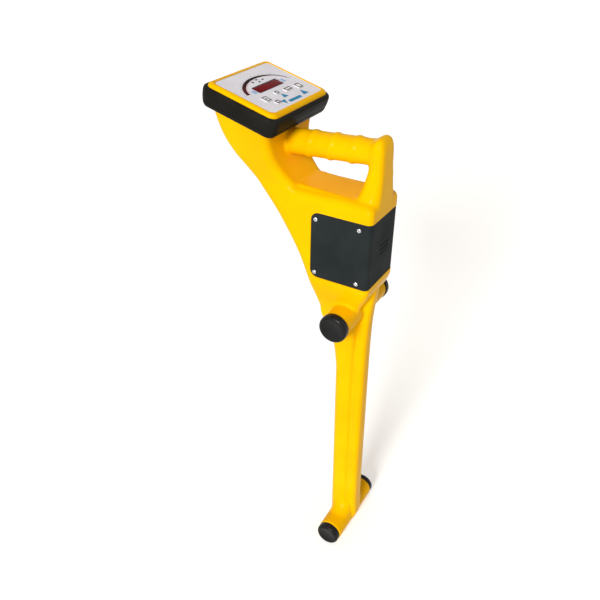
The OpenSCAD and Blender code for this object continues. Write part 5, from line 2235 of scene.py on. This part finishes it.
@dataclass
class Studio:
    """Floor, light and camera."""

    floor_size: float = 12.0
    floor_z: float = -0.0004
    floor_colour: str = "F7F7F7"
    floor_roughness: float = 0.9
    sky_colour: str = "FFF4E4"
    sky_strength: float = 0.36
    sun_strength: float = 2.9
    sun_from: tuple[float, float, float] = (-0.9, -0.12, 0.43)
    sun_angle: float = 16.0
    floor_glow: float = 0.45
    camera_place: tuple[float, float, float] = (-678.4, -304.4, 882.2)
    camera_yaw: float = 30.11
    camera_pitch: float = -32.67
    camera_roll: float = 0.765
    camera_lens: float = 41.08

    @staticmethod
    def seen_rays(sheet: Sheet) -> bpy.types.NodeSocket:
        """Gives 1 for rays that the camera, a reflection or glass sends out, and 0 for the rest.

        Args:
            sheet: Shader tree that takes the nodes.

        Returns:
            The socket with the value.
        """
        rays = sheet.node("ShaderNodeLightPath")
        seen = sheet.math("MAXIMUM", rays.outputs["Is Camera Ray"], rays.outputs["Is Glossy Ray"])
        return sheet.math("MAXIMUM", seen, rays.outputs["Is Transmission Ray"])

    def build_floor(self) -> None:
        """Builds the plain pale floor."""
        bm = bmesh.new()
        bmesh.ops.create_grid(bm, x_segments=1, y_segments=1, size=self.floor_size / 2)
        floor = make_object("floor", bm, Matrix.Translation((0, 0, self.floor_z)))
        paint = bpy.data.materials.new("floor_paint")
        paint.use_nodes = True
        sheet = Sheet(paint.node_tree)
        shader = sheet.node(
            "ShaderNodeBsdfPrincipled",
            {
                "Base Color": linear_colour(self.floor_colour),
                "Roughness": self.floor_roughness,
                "Specular IOR Level": 0.0,
                "Emission Color": linear_colour(self.floor_colour),
            },
        )
        seen = self.seen_rays(sheet)
        sheet.join(sheet.math("MULTIPLY", seen, self.floor_glow), shader.inputs["Emission Strength"])
        sheet.join(shader.outputs["BSDF"], sheet.node("ShaderNodeOutputMaterial").inputs["Surface"])
        floor.data.materials.append(paint)

    def build_sky(self) -> None:
        """Builds an even sky that the camera and reflections see as white."""
        sky = bpy.data.worlds.new("sky")
        sky.use_nodes = True
        sheet = Sheet(sky.node_tree)
        seen = self.seen_rays(sheet)
        light = sheet.node("ShaderNodeBackground")
        sheet.join(sheet.blend(seen, self.sky_colour, WHITE), light.inputs["Color"])
        sheet.join(sheet.ranged(seen, WHOLE_RANGE, (self.sky_strength, 1.0)), light.inputs["Strength"])
        end = sheet.node("ShaderNodeOutputWorld")
        sheet.join(light.outputs[0], end.inputs["Surface"])
        bpy.context.scene.world = sky

    def build_sun(self) -> None:
        """Builds one broad soft lamp from the upper left."""
        lamp = bpy.data.lights.new("key_light", "SUN")
        lamp.energy = self.sun_strength
        lamp.angle = math.radians(self.sun_angle)
        sun = bpy.data.objects.new("key_light", lamp)
        sun.rotation_euler = Vector(self.sun_from).to_track_quat("Z", "Y").to_euler()
        bpy.context.scene.collection.objects.link(sun)

    def build_camera(self) -> None:
        """Places the camera at the viewing angle of the photograph."""
        lens = bpy.data.cameras.new("camera")
        lens.lens = self.camera_lens
        camera = bpy.data.objects.new("camera", lens)
        yaw = Matrix.Rotation(math.radians(self.camera_yaw - 90), 4, "Z")
        pitch = Matrix.Rotation(math.radians(90 + self.camera_pitch), 4, "X")
        roll = Matrix.Rotation(math.radians(self.camera_roll), 4, "Z")
        camera.matrix_world = Matrix.Translation(Vector(self.camera_place) * MM) @ yaw @ pitch @ roll
        bpy.context.scene.collection.objects.link(camera)
        bpy.context.scene.camera = camera

    def build(self) -> None:
        """Builds the whole studio."""
        bpy.context.scene.view_settings.view_transform = "Standard"
        self.build_camera()
        self.build_floor()
        self.build_sky()
        self.build_sun()


def main() -> None:
    """Builds the studio and every sub-assembly, in order."""
    logging.basicConfig(level=logging.INFO, format="%(name)s %(message)s")
    Studio().build()
    workshop = Workshop()
    cover = CoverShape()
    BodyShell(cover).build(workshop)
    RearCover(cover).build(workshop)
    EndCaps().build(workshop)
    Head().build(workshop)
    Panel().build(workshop)
    InnerParts().build(workshop)


if __name__ == "__main__":
    main()
